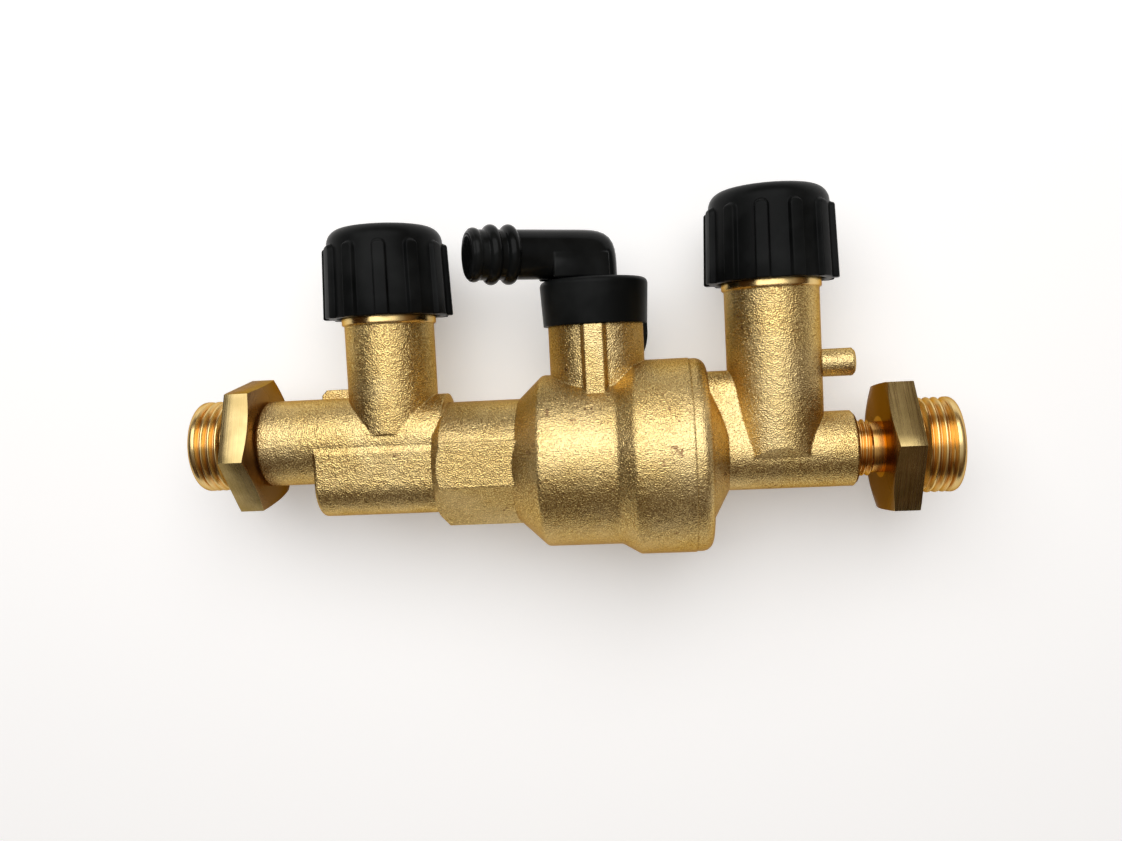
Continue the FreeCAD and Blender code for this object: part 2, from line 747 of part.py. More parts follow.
def nipple(thread_end_x, towards, turn, y):
    """Hexagon reducing nipple. towards is +1 where the big thread points to +X."""
    hex_near_x = thread_end_x - towards * thread_length
    hex_far_x = hex_near_x - towards * hex_thickness
    shank_end_x = hex_far_x - towards * shank_length
    big_outline = [
        (thread_end_x, 0),
        (thread_end_x, thread_r - thread_end_round),
        (thread_end_x - towards * thread_end_round, thread_r),
        (hex_near_x + towards * thread_undercut_length, thread_r),
        (hex_near_x + towards * thread_undercut_length / 2, thread_undercut_r),
        (hex_near_x, thread_undercut_r),
        (hex_near_x, 0),
    ]
    shank_outline = [
        (hex_far_x, 0),
        (hex_far_x, shank_relief_r),
        (hex_far_x - towards * shank_relief_length, shank_relief_r),
        (hex_far_x - towards * (shank_relief_length + shank_r - shank_relief_r), shank_r),
        (shank_end_x + towards * tube_end_chamfer, shank_r),
        (shank_end_x, shank_r - tube_end_chamfer),
        (shank_end_x, 0),
    ]
    flat_r = hex_across_flats / 2
    outside_r = hexagon_corner_r(hex_across_flats) + past
    chamfer_length = (outside_r - flat_r) * math.tan(math.radians(hex_chamfer_angle))
    chamfered = turned_x([
        (hex_near_x, 0),
        (hex_near_x, outside_r),
        (hex_far_x + towards * chamfer_length, outside_r),
        (hex_far_x, flat_r),
        (hex_far_x, 0),
    ], y)
    grip = hexagon_x(hex_across_flats, turn, hex_near_x, hex_far_x, y).common(chamfered)
    solid = joined([grip, turned_x(big_outline, y), turned_x(shank_outline, y)])
    mouth = turned_x([
        (thread_end_x + towards, 0),
        (thread_end_x + towards, nipple_mouth_r),
        (thread_end_x - towards * nipple_mouth_depth, nipple_mouth_r),
        (thread_end_x - towards * (nipple_mouth_depth + nipple_mouth_r - nipple_bore_r), nipple_bore_r),
        (shank_end_x - towards, nipple_bore_r),
        (shank_end_x - towards, 0),
    ], y)
    return solid.cut(mouth)


def bonnet(x, seat_y):
    top = seat_y + seat_to_tower_top
    sleeve = rod_y(bonnet_r, seat_y + bonnet_bottom, top, x)
    head = hexagon_y(bonnet_head_across_flats, 0, top, top + bonnet_head_height, x)
    key_size = holder_key_across_flats + 2 * bonnet_key_clearance
    key_bore = hexagon_y(key_size, 0, seat_y + bonnet_bottom - past, seat_y + bonnet_key_top, x)
    stem_bore = rod_y(bonnet_bore_r, seat_y + bonnet_bottom, top + bonnet_head_height + past, x)
    groove = ring_groove(bonnet_r, bonnet_groove_r, seat_y + bonnet_groove_height, x)
    return joined([sleeve, head]).cut(joined([key_bore, stem_bore, groove]))


def bonnet_seal(x, seat_y):
    wire_r = (tower_bore_r - bonnet_groove_r) / 2 - seal_gap
    return ring_y((tower_bore_r + bonnet_groove_r) / 2, wire_r, x, seat_y + bonnet_groove_height)


def disc_washer(x, seat_y):
    low = seat_y + seal_gap
    ring = rod_y(washer_r, low, low + washer_thickness, x)
    return ring.cut(rod_y(washer_hole_r, low - past, low + washer_thickness + past, x))


def disc_holder(x, seat_y):
    """Non-turning disc holder with a six-sided key and a threaded bore for the spindle."""
    low = seat_y + seal_gap + washer_thickness
    key = hexagon_y(holder_key_across_flats, 0, low, seat_y + holder_key_top, x)
    plate = rod_y(holder_plate_r, low, low + holder_plate_thickness, x)
    stub = rod_y(holder_stub_r, low - holder_stub_length, low, x)
    bore = rod_y(holder_bore_r, seat_y + holder_bore_floor, seat_y + holder_key_top + past, x)
    return joined([plate, key, stub]).cut(bore)


def spindle(x, seat_y):
    """Non-rising spindle: thread below, thrust collar, sealed journal and splined end."""
    bottom = seat_y + holder_bore_floor + tap_lift + spindle_end_gap
    thread = rod_y(spindle_thread_r, bottom, seat_y + spindle_collar_bottom, x)
    low_edge = [edge for edge in round_edges(thread) if edge.BoundBox.YMax < bottom + tiny]
    thread = thread.makeChamfer(spindle_end_chamfer, low_edge)
    collar = rod_y(spindle_collar_r, seat_y + spindle_collar_bottom, seat_y + spindle_collar_top, x)
    journal = rod_y(journal_r, seat_y + spindle_collar_top, seat_y + spindle_top, x)
    groove = ring_groove(journal_r, spindle_groove_r, seat_y + spindle_groove_height, x)
    return joined([thread, collar, journal]).cut(groove)


def spindle_seal(x, seat_y):
    wire_r = (bonnet_bore_r - spindle_groove_r) / 2 - seal_gap
    return ring_y((bonnet_bore_r + spindle_groove_r) / 2, wire_r, x, seat_y + spindle_groove_height)


def knob_ribs(x, low, turn):
    envelope = turned_y([
        (knob_bottom_r - knob_wall / 2, low),
        (knob_bottom_r + knob_rib_bottom_reach, low),
        (knob_top_r + knob_rib_top_reach, low + knob_rib_length),
        (knob_top_r - knob_wall / 2, low + knob_rib_length + knob_rib_slope),
    ], x)
    blades = []
    for step in range(knob_rib_count):
        blade = block(
            x - knob_rib_width / 2, x + knob_rib_width / 2,
            low, low + knob_height,
            0, knob_bottom_r + knob_rib_bottom_reach + past,
        )
        blade.rotate(Vector(x, 0, 0), along_y, turn + step * full_turn / knob_rib_count)
        blades.append(blade.common(envelope))
    return blades


def knob(x, seat_y, turn):
    """Ribbed hand knob: a thin drafted cap with a hub on the spindle's splined end."""
    low = seat_y + seat_to_knob
    top = low + knob_height
    cap = turned_y([
        (0, low),
        (knob_bottom_r, low),
        (knob_top_r, top - knob_crown),
        (knob_top_r / 2, top),
        (0, top),
    ], x)
    shoulder = [edge for edge in cap.Edges
                if abs(edge.BoundBox.YMin - top + knob_crown) < tiny and edge.BoundBox.YLength < tiny]
    cap = cap.makeFillet(knob_shoulder_round, shoulder)
    inner_top = top - knob_roof
    hollow = turned_y([
        (0, low - past),
        (knob_bottom_r - knob_wall, low - past),
        (knob_top_r - knob_wall, inner_top),
        (0, inner_top),
    ], x)
    hub = rod_y(knob_hub_r, low + knob_hub_bottom, top - knob_roof / 2, x)
    socket = rod_y(journal_r, low, seat_y + spindle_top, x)
    shell = cap.cut(hollow)
    return joined([shell, hub] + knob_ribs(x, low, turn)).cut(socket)


def drain_collar():
    """Collar that traps the elbow's foot, with a tongue behind that snaps over the port's nib."""
    roof_y = collar_top_y - collar_roof
    cup = turned_y([
        (0, port_shoulder_y),
        (collar_bottom_r, port_shoulder_y),
        (collar_top_r, collar_top_y),
        (0, collar_top_y),
    ], port_x)
    rim = [edge for edge in cup.Edges
           if abs(edge.BoundBox.YMin - collar_top_y) < tiny and edge.BoundBox.YLength < tiny]
    cup = cup.makeFillet(collar_edge_round, rim)
    back = -(port_r + tongue_gap + tongue_thickness)
    front = back + tongue_thickness
    tongue = block(
        port_x - tongue_half_width, port_x + tongue_half_width,
        tongue_centre_y, roof_y, back, front,
    )
    top_corners = [edge for edge in tongue.Edges
                   if edge.BoundBox.YMin > roof_y - tiny and edge.BoundBox.XLength < tiny]
    tongue = tongue.makeFillet(tongue_top_round, top_corners)
    end_place = Vector(port_x, tongue_centre_y, back)
    end = Part.makeCylinder(tongue_half_width, tongue_thickness, end_place, along_z)
    tongue = joined([tongue, end])
    window = block(
        port_x - tongue_window_width / 2, port_x + tongue_window_width / 2,
        tongue_centre_y - tongue_window_height / 2, tongue_centre_y + tongue_window_height / 2,
        back - past, front + past,
    )
    hollow = rod_y(port_rim_r + collar_wall_gap, port_shoulder_y - past, roof_y, port_x)
    hole = rod_y(collar_hole_r, roof_y - past, collar_top_y + past, port_x)
    return joined([cup, tongue.cut(window)]).cut(joined([hollow, hole]))


def elbow_turned(shape):
    shape.rotate(Vector(port_x, 0, 0), along_y, elbow_turn)
    return shape


def elbow_arm():
    """Side arm with a round outer corner, a squared lower side and a hose end with rings."""
    tip_x = port_x - elbow_reach
    arm = rod_x(elbow_r, port_x + elbow_r, tip_x, elbow_axis_y)
    arm = arm.makeFillet(elbow_r - elbow_bore_r - elbow_tip_land, circles_at(arm, [tip_x]))
    riser = rod_y(elbow_r, port_top_y, elbow_axis_y + elbow_r, port_x)
    corner = elbow_r * 2
    side_view = block(
        tip_x - past, port_x + elbow_r, port_top_y - past, elbow_axis_y + elbow_r, -corner, corner,
    )
    outer_edge = [edge for edge in side_view.Edges
                  if abs(edge.BoundBox.XMin - port_x - elbow_r) < tiny
                  and abs(edge.BoundBox.YMin - elbow_axis_y - elbow_r) < tiny]
    side_view = side_view.makeFillet(elbow_outer_round, outer_edge)
    riser_end = riser.common(block(
        port_x - elbow_r, port_x + elbow_r, port_top_y, elbow_axis_y, -elbow_r, elbow_r,
    ))
    head = arm.common(rod_y(elbow_r, elbow_axis_y - elbow_r, elbow_axis_y + elbow_r, port_x).fuse(
        block(tip_x - past, port_x, elbow_axis_y - elbow_r, elbow_axis_y + elbow_r, -elbow_r, elbow_r)))
    squared = block(
        port_x - elbow_flat_to, port_x - elbow_flat_from,
        elbow_axis_y - elbow_r, elbow_axis_y, -elbow_r, elbow_r,
    )
    rings = [ring_x(barb_peak_r - barb_round, barb_round, tip_x + from_tip, elbow_axis_y)
             for from_tip in barbs_from_tip]
    lip = ring_x(lip_r - barb_round, barb_round, tip_x + lip_from_tip, elbow_axis_y)
    return joined([head.common(side_view), riser_end, squared, lip] + rings)


def elbow_foot():
    foot_top = collar_top_y - collar_roof - elbow_foot_gap
    foot_low = foot_top - elbow_foot_thickness
    flange = rod_y(elbow_foot_r, foot_low, foot_top, port_x)
    stem_r = collar_hole_r - elbow_stem_clearance
    stem = rod_y(stem_r, foot_top, collar_top_y + elbow_stem_clearance, port_x)
    spigot_low = port_top_y - elbow_spigot_length
    spigot = rod_y(port_bore_r - elbow_spigot_clearance, spigot_low, foot_low, port_x)
    groove_y = spigot_low + elbow_groove_height
    groove = ring_groove(port_bore_r, port_bore_r - elbow_groove_depth, groove_y, port_x)
    return joined([flange, stem, spigot]).cut(groove)


def drain_elbow():
    spigot_low = port_top_y - elbow_spigot_length
    bores = joined([
        rod_y(elbow_bore_r, spigot_low - past, elbow_axis_y, port_x),
        rod_x(elbow_bore_r, port_x, port_x - elbow_reach - past, elbow_axis_y),
        Part.makeSphere(elbow_bore_r, Vector(port_x, elbow_axis_y, 0)),
    ])
    return elbow_turned(joined([elbow_arm(), elbow_foot()]).cut(bores))


def drain_elbow_seal():
    wire_r = elbow_groove_depth / 2 - seal_gap
    y = port_top_y - elbow_spigot_length + elbow_groove_height
    return ring_y(port_bore_r - elbow_groove_depth / 2, wire_r, port_x, y)


def vent_piston():
    """Piston that slides left to close the vent; it carries the first non-return valve."""
    outer_r = piston_bore_r - piston_clearance
    seat_right = piston_right_x - check_seat_offset
    seat_left = seat_right - check_seat_thickness
    groove_x = piston_right_x - piston_groove_offset
    half = oring_groove_width / 2
    groove_r = piston_bore_r - 2 * piston_seal_r
    body = turned_x([
        (piston_right_x, check_inner_r),
        (piston_right_x, outer_r),
        (groove_x + half, outer_r),
        (groove_x + half, groove_r),
        (groove_x - half, groove_r),
        (groove_x - half, outer_r),
        (piston_shoulder_x, outer_r),
        (piston_shoulder_x, piston_nose_r),
        (piston_face_x, piston_nose_r),
        (piston_face_x, vent_seal_outer_r),
        (piston_face_x + vent_seal_thickness - vent_seal_proud, vent_seal_outer_r),
        (piston_face_x + vent_seal_thickness - vent_seal_proud, vent_seal_inner_r),
        (piston_face_x, vent_seal_inner_r),
        (piston_face_x, check_inner_r),
        (seat_left, check_inner_r),
        (seat_left, check_seat_hole_r),
        (seat_right, check_seat_hole_r),
        (seat_right, check_inner_r),
    ])
    return body


def piston_seal():
    x = piston_right_x - piston_groove_offset
    wire_r = piston_seal_r - seal_gap
    return ring_x(piston_bore_r - piston_seal_r, wire_r, x)


def vent_seal():
    deep_x = piston_face_x + vent_seal_thickness - vent_seal_proud
    return turned_x([
        (deep_x, vent_seal_inner_r + seal_gap),
        (deep_x, vent_seal_outer_r - seal_gap),
        (piston_face_x - vent_seal_proud, vent_seal_outer_r - seal_gap),
        (piston_face_x - vent_seal_proud, vent_seal_inner_r + seal_gap),
    ])


def check_guide(seat_left_x, bore_r):
    """Three-armed guide for the poppet's stem; its long hub is the stop of the open poppet."""
    right_x = seat_left_x - guide_offset
    left_x = right_x - guide_thickness
    rim_inner_r = bore_r - guide_rim_width
    outer = rod_x(bore_r, left_x, right_x).cut(rod_x(rim_inner_r, left_x - past, right_x + past))
    stop_x = seat_left_x - seal_gap - poppet_thickness - poppet_travel - spring_end_gap
    hub = rod_x(guide_hub_r, left_x, stop_x)
    arm_reach = bore_r - guide_rim_width / 2
    arms = []
    for step in range(guide_arm_count):
        arm = block(left_x, right_x, 0, arm_reach, -guide_arm_width / 2, guide_arm_width / 2)
        arm.rotate(Vector(0, 0, 0), along_x, step * full_turn / guide_arm_count)
        arms.append(arm)
    hole = rod_x(poppet_stem_r + guide_stem_clearance, left_x - past, stop_x + past)
    return joined([outer, hub] + arms).cut(hole)


def poppet(seat_left_x):
    """Poppet disc with its stem; a rubber ring on its right face closes on the seat."""
    right_x = seat_left_x - seal_gap
    back_x = right_x - poppet_thickness
    seal_x = right_x - poppet_seal_thickness
    return turned_x([
        (right_x + check_seat_thickness / 2, 0),
        (right_x + check_seat_thickness / 2, check_seat_hole_r / 2),
        (right_x, check_seat_hole_r - 2 * guide_stem_clearance),
        (seal_x, check_seat_hole_r - 2 * guide_stem_clearance),
        (seal_x, poppet_r),
        (back_x, poppet_r),
        (back_x, poppet_stem_r),
        (back_x - poppet_stem_length, poppet_stem_r),
        (back_x - poppet_stem_length, 0),
    ])


def poppet_seal(seat_left_x):
    right_x = seat_left_x - seal_gap
    inner_r = check_seat_hole_r - 2 * guide_stem_clearance
    return turned_x([
        (right_x, inner_r),
        (right_x, poppet_r),
        (right_x - poppet_seal_thickness, poppet_r),
        (right_x - poppet_seal_thickness, inner_r),
    ])


def check_spring(seat_left_x):
    right_x = seat_left_x - seal_gap - poppet_thickness - spring_end_gap
    left_x = seat_left_x - guide_offset + spring_end_gap
    return coil_x(check_spring_r, check_spring_wire_r, right_x, left_x, check_spring_turns)


def vent_spring():
    left_x = vent_floor_x + cartridge_flange_thickness + spring_end_gap
    right_x = piston_shoulder_x - spring_end_gap
    return coil_x(vent_spring_r, vent_spring_wire_r, right_x, left_x, vent_spring_turns)


def cartridge_seat_left():
    return vent_floor_x + cartridge_flange_thickness - check_seat_thickness


def check_cartridge():
    """Cartridge of the second non-return valve; its raised rim is the vent's seat."""
    flange_x = vent_floor_x + cartridge_flange_thickness
    seat_left = cartridge_seat_left()
    end_x = check_bore_end_x + spring_end_gap
    groove_x = vent_floor_x - cartridge_groove_offset
    half = oring_groove_width / 2
    return turned_x([
        (cartridge_rim_x, cartridge_rim_inner_r),
        (cartridge_rim_x, cartridge_rim_r),
        (flange_x, cartridge_rim_r),
        (flange_x, cartridge_flange_r),
        (vent_floor_x, cartridge_flange_r),
        (vent_floor_x, cartridge_r),
        (groove_x + half, cartridge_r),
        (groove_x + half, cartridge_groove_r),
        (groove_x - half, cartridge_groove_r),
        (groove_x - half, cartridge_r),
        (end_x, cartridge_r),
        (end_x, check_inner_r),
        (seat_left, check_inner_r),
        (seat_left, check_seat_hole_r),
        (flange_x, check_seat_hole_r),
        (flange_x, cartridge_rim_inner_r),
    ])


def cartridge_seal():
    middle = (cartridge_groove_r + check_bore_r) / 2
    wire_r = (check_bore_r - cartridge_groove_r) / 2 - seal_gap
    return ring_x(middle, wire_r, vent_floor_x - cartridge_groove_offset)


def inlet_strainer():
    """Slotted strainer sleeve with an open end towards the nipple."""
    right_x = inlet_tube_x - shank_length + inlet_nipple_gap - strainer_gap
    left_x = inlet_tower_x - inlet_bore_past_tower + strainer_end_gap
    sleeve = rod_x(strainer_r, left_x, right_x)
    sleeve = sleeve.cut(rod_x(strainer_r - strainer_wall, left_x + strainer_wall, right_x + past))
    slots = []
    for step in range(strainer_slot_count):
        slot = block(
            left_x + strainer_slot_margin, right_x - strainer_slot_margin,
            0, strainer_r + past,
            -strainer_slot_width / 2, strainer_slot_width / 2,
        )
        slot.rotate(Vector(0, 0, 0), along_x, step * full_turn / strainer_slot_count)
        slots.append(slot)
    return sleeve.cut(joined(slots))


def tap_nodes(name, x, seat_y, turn):
    return {
        name + "_bonnet": bonnet(x, seat_y),
        name + "_bonnet_seal": bonnet_seal(x, seat_y),
        name + "_disc_holder": disc_holder(x, seat_y),
        name + "_disc_washer": disc_washer(x, seat_y),
        name + "_spindle": spindle(x, seat_y),
        name + "_spindle_seal": spindle_seal(x, seat_y),
        name + "_knob": knob(x, seat_y, turn),
    }


def check_nodes(name, seat_left_x, bore_r):
    return {
        name + "_guide": check_guide(seat_left_x, bore_r),
        name + "_poppet": poppet(seat_left_x),
        name + "_poppet_seal": poppet_seal(seat_left_x),
        name + "_spring": check_spring(seat_left_x),
    }


def build():
    piston_seat_left = piston_right_x - check_seat_offset - check_seat_thickness
    nodes = {
        "outlet_body": outlet_body(),
        "inlet_body": inlet_body(),
        "body_seal": body_seal(),
        "outlet_nipple": nipple(outlet_end_x, -1, outlet_hex_turn, outlet_axis_y),
        "inlet_nipple": nipple(inlet_end_x, 1, inlet_hex_turn, 0.0),
        "inlet_strainer": inlet_strainer(),
        "drain_collar": drain_collar(),
        "drain_elbow": drain_elbow(),
        "drain_elbow_seal": drain_elbow_seal(),
        "vent_piston": vent_piston(),
        "vent_piston_seal": piston_seal(),
        "vent_seal": vent_seal(),
        "vent_spring": vent_spring(),
        "downstream_check_cartridge": check_cartridge(),
        "downstream_cartridge_seal": cartridge_seal(),
    }
    nodes.update(tap_nodes("outlet", outlet_tower_x, outlet_seat_y, outlet_knob_turn))
    nodes.update(tap_nodes("inlet", inlet_tower_x, inlet_seat_y, inlet_knob_turn))
    nodes.update(check_nodes("upstream_check", piston_seat_left, check_inner_r))
    nodes.update(check_nodes("downstream_check", cartridge_seat_left(), check_inner_r))
    return nodes


os.makedirs("parts", exist_ok=True)
for node_name, node_shape in build().items():
    node_shape.exportStep("parts/" + node_name + ".step")
    print(node_name, round(node_shape.Volume, 2), len(node_shape.Solids), node_shape.isValid())
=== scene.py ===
# Dresses the filling valve: threads, moulded knobs, cast and turned brass, and the studio around it.
import json
import math

import bmesh
import bpy
from mathutils import Euler, Matrix, Vector


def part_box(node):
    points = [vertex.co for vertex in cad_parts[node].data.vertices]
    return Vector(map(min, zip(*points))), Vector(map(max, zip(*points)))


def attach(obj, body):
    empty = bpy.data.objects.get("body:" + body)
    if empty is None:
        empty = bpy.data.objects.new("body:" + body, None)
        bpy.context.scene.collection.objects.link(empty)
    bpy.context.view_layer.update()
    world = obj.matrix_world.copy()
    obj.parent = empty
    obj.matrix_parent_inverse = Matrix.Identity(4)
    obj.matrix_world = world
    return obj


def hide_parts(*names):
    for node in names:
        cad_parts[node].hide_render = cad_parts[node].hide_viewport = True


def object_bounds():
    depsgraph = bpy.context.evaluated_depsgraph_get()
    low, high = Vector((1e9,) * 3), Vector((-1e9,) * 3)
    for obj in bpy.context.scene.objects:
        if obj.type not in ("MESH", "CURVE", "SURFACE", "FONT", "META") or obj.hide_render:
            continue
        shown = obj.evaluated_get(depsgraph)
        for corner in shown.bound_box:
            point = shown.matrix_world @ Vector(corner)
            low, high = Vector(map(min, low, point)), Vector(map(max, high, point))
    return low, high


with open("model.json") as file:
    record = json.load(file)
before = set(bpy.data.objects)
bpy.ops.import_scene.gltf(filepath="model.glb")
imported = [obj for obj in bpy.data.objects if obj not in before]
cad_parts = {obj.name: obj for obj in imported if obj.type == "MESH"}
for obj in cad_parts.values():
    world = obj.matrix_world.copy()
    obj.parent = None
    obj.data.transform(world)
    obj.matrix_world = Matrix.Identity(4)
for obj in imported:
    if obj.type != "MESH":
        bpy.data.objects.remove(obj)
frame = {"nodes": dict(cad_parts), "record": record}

bl_info = {
    "name": "Filling valve",
    "version": (1, 0, 0),
    "blender": (4, 5, 0),
    "location": "View3D > Sidebar > Valve",
    "description": "Threads, mouldings, brass finishes and studio for a filling valve",
    "category": "Object",
}

MM = 0.001
TINY = 0.001 * MM
FULL_TURN = 2 * math.pi
CAD_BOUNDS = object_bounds()

# Turns what was lathed about the X axis upright, about the Y axis
UPRIGHT = Matrix(((0, 0, 1, 0), (1, 0, 0, 0), (0, 1, 0, 0), (0, 0, 0, 1)))
# Faces that meet at less than this are shaded as one surface
SMOOTH_UP_TO = math.radians(32.0)


def length_setting(label, description, millimetres):
    return bpy.props.FloatProperty(
        name=label, description=description, default=millimetres * MM, unit="LENGTH", precision=5)


def angle_setting(label, description, degrees):
    return bpy.props.FloatProperty(
        name=label, description=description, default=math.radians(degrees), subtype="ANGLE")


def colour_setting(label, description, red, green, blue):
    return bpy.props.FloatVectorProperty(
        name=label, description=description, default=(red, green, blue, 1.0), size=4,
        subtype="COLOR")


class ThreadSizes(bpy.types.PropertyGroup):
    """Sizes of the two threads on each nipple."""

    large_pitch: length_setting("Large pitch", "Pitch of the 3/8 inch pipe thread", 1.337)
    large_depth: length_setting("Large depth", "Depth of the 3/8 inch pipe thread", 0.72)
    small_pitch: length_setting(
        "Small pitch", "Pitch of the thread that screws into the casting", 1.0)
    small_depth: length_setting(
        "Small depth", "Depth of the thread that screws into the casting", 0.5)
    end_land: length_setting(
        "End land", "Plain stretch between the large thread and its rounded end", 1.5)
    steps: bpy.props.IntProperty(
        name="Steps", description="Steps in one turn of a thread", default=72)


class NippleSizes(bpy.types.PropertyGroup):
    """Sizes of the hexagon nipples that the frame doesn't tell."""

    large_radius: length_setting("Large radius", "Outer radius of the pipe thread", 8.331)
    thread_length: length_setting("Thread length", "From the thread's end to the hexagon", 7.75)
    undercut: length_setting("Undercut", "Relief between the thread and the hexagon", 1.3)
    hex_thickness: length_setting("Hexagon thickness", "Thickness of the spanner hexagon", 4.85)
    across_flats: length_setting("Across flats", "Spanner size of the hexagon", 22.0)
    small_radius: length_setting("Small radius", "Outer radius of the small thread", 5.0)
    relief: length_setting("Relief", "Plain neck between the hexagon and the small thread", 1.9)
    mouth_radius: length_setting("Mouth radius", "Radius of the nipple's wide mouth", 6.0)
    mouth_depth: length_setting("Mouth depth", "Depth of the nipple's wide mouth", 5.0)
    bore_radius: length_setting("Bore radius", "Radius of the nipple's bore", 3.3)
    outlet_turn: angle_setting("Outlet turn", "How far the outlet hexagon is turned", -20.3)
    inlet_turn: angle_setting("Inlet turn", "How far the inlet hexagon is turned", 24.5)


class KnobSizes(bpy.types.PropertyGroup):
    """Sizes of the two hand knobs that the frame doesn't tell."""

    bottom_radius: length_setting("Bottom radius", "Cap radius at the open end", 10.75)
    top_radius: length_setting("Top radius", "Cap radius under the shoulder", 10.40)
    shoulder: length_setting("Shoulder", "Rounding between the wall and the crown", 2.8)
    crown: length_setting("Crown", "Rise of the crown above the shoulder", 0.35)
    wall: length_setting("Wall", "Wall of the cap", 1.45)
    roof: length_setting("Roof", "Thickness of the crown", 2.0)
    dimple_radius: length_setting("Dimple radius", "Small dimple on top of the crown", 0.6)
    hub_radius: length_setting("Hub radius", "Hub inside the cap", 4.2)
    hub_bottom: length_setting("Hub bottom", "Height of the hub above the open end", 4.4)
    socket_radius: length_setting("Socket radius", "Hole in the hub for the spindle", 2.5)
    rib_count: bpy.props.IntProperty(name="Ribs", description="Ribs around the cap", default=12)
    rib_width: length_setting("Rib width", "Width of a rib", 2.2)
    rib_reach: length_setting("Rib reach", "How far a rib stands out at the open end", 0.95)
    rib_draft: length_setting("Rib draft", "How much less it stands out at its top", 0.10)
    rib_length: length_setting("Rib length", "Straight length of a rib", 12.4)
    rib_slope: length_setting("Rib slope", "Height of the slope at its top", 1.2)
    rib_soft: length_setting("Rib softness", "Rounding of a rib's sides", 0.28)
    outlet_turn: angle_setting(
        "Outlet knob turn", "How far the outlet knob's ribs are turned", 9.3)
    inlet_turn: angle_setting("Inlet knob turn", "How far the inlet knob's ribs are turned", -13.3)


class ElbowSizes(bpy.types.PropertyGroup):
    """Sizes of the drain elbow that the frame doesn't tell."""

    radius: length_setting("Radius", "Outer radius of the elbow's tube", 4.33)
    bore_radius: length_setting("Bore radius", "Bore of the elbow", 3.3)
    reach: length_setting("Reach", "From the port's axis to the hose end", 23.0)
    turn: angle_setting("Turn", "How far the elbow is swivelled", 25.0)
    squareness: bpy.props.FloatProperty(
        name="Squareness", description="How square the outer corner is", default=4.2)
    lip_radius: length_setting("Lip radius", "Radius over the lip of the hose end", 4.65)
    lip_place: length_setting("Lip place", "From the hose end to the lip's crest", 1.1)
    ring_radius: length_setting("Ring radius", "Radius over the two rings", 5.2)
    ring_round: length_setting("Ring rounding", "Rounding of lip and rings", 1.15)
    ring_places: bpy.props.FloatVectorProperty(
        name="Ring places", description="From the hose end to each ring's crest", size=2,
        default=(4.15 * MM, 7.35 * MM), unit="LENGTH")
    flat_from: length_setting(
        "Flat from", "Where the squared side starts, past the port's axis", -1.5)
    flat_to: length_setting("Flat to", "Where the squared side ends, towards the hose end", 8.8)
    stem_radius: length_setting("Stem radius", "Stem in the collar's hole", 5.2)
    foot_radius: length_setting("Foot radius", "Flange that the collar traps", 7.3)
    foot_height: length_setting("Foot height", "Thickness of the flange", 1.5)
    foot_drop: length_setting("Foot drop", "From the collar's top down to the flange", 1.55)
    spigot_radius: length_setting("Spigot radius", "Spigot in the port", 5.12)
    groove_depth: length_setting("Groove depth", "Depth of the seal's groove", 0.77)


class FinishColours(bpy.types.PropertyGroup):
    """Colours of the valve's finishes, and of the painted reflection and shade on the nipples."""

    cast_brass: colour_setting("Cast brass", "Blasted brass in the light", 0.79, 0.595, 0.235)
    edge_brass: colour_setting("Brass edge", "Brass seen at a grazing angle", 0.48, 0.31, 0.17)
    # Partly painted shade: pits of the grain are browner, partly from a deposit and partly as
    # painted shade of brass reflecting on brass
    pit_deposit_and_shade: colour_setting("Pit deposit and shade", "Brown in the pits of the casting", 0.44, 0.26, 0.09)
    pale_brass: colour_setting(
        "Pale brass", "Soft paler patches on the casting", 0.76, 0.58, 0.28)
    # Painted reflection: orange that stands in for brass reflecting on brass in the thread roots and
    # over the small thread
    painted_root_reflection: colour_setting(
        "Painted root reflection", "Orange brass in the roots of a thread", 0.74, 0.40, 0.11)
    # Painted dark reflection: darker brass on the spanner faces and plain stretches, standing in for
    # the dark surroundings that they reflect
    painted_dark_brass: colour_setting(
        "Painted dark brass", "Duller brass on the spanner faces", 0.38, 0.28, 0.115)
    # Painted shade: darker brass on the hexagon's side that looks to the small thread, standing in
    # for the dark surroundings that it reflects
    painted_shank_shade: colour_setting(
        "Painted shank shade", "Dull side of the hexagons, towards the castings", 0.29, 0.185, 0.10)
    stain: colour_setting("Stain", "Reddish brown stains and scuffs", 0.27, 0.15, 0.07)
    turned_brass: colour_setting("Turned brass", "Bright machined brass", 0.83, 0.60, 0.26)
    black_plastic: colour_setting(
        "Black plastic", "Moulded knobs, collar and elbow", 0.005, 0.0055, 0.0055)
    white_plastic: colour_setting("White plastic", "Inner pieces of acetal", 0.72, 0.72, 0.68)
    rubber: colour_setting("Rubber", "Seals and washers", 0.02, 0.02, 0.02)
    steel: colour_setting("Steel", "Springs and strainer", 0.55, 0.55, 0.55)
    dull_steel: colour_setting("Dull steel", "Darker patches on the steel", 0.42, 0.42, 0.42)


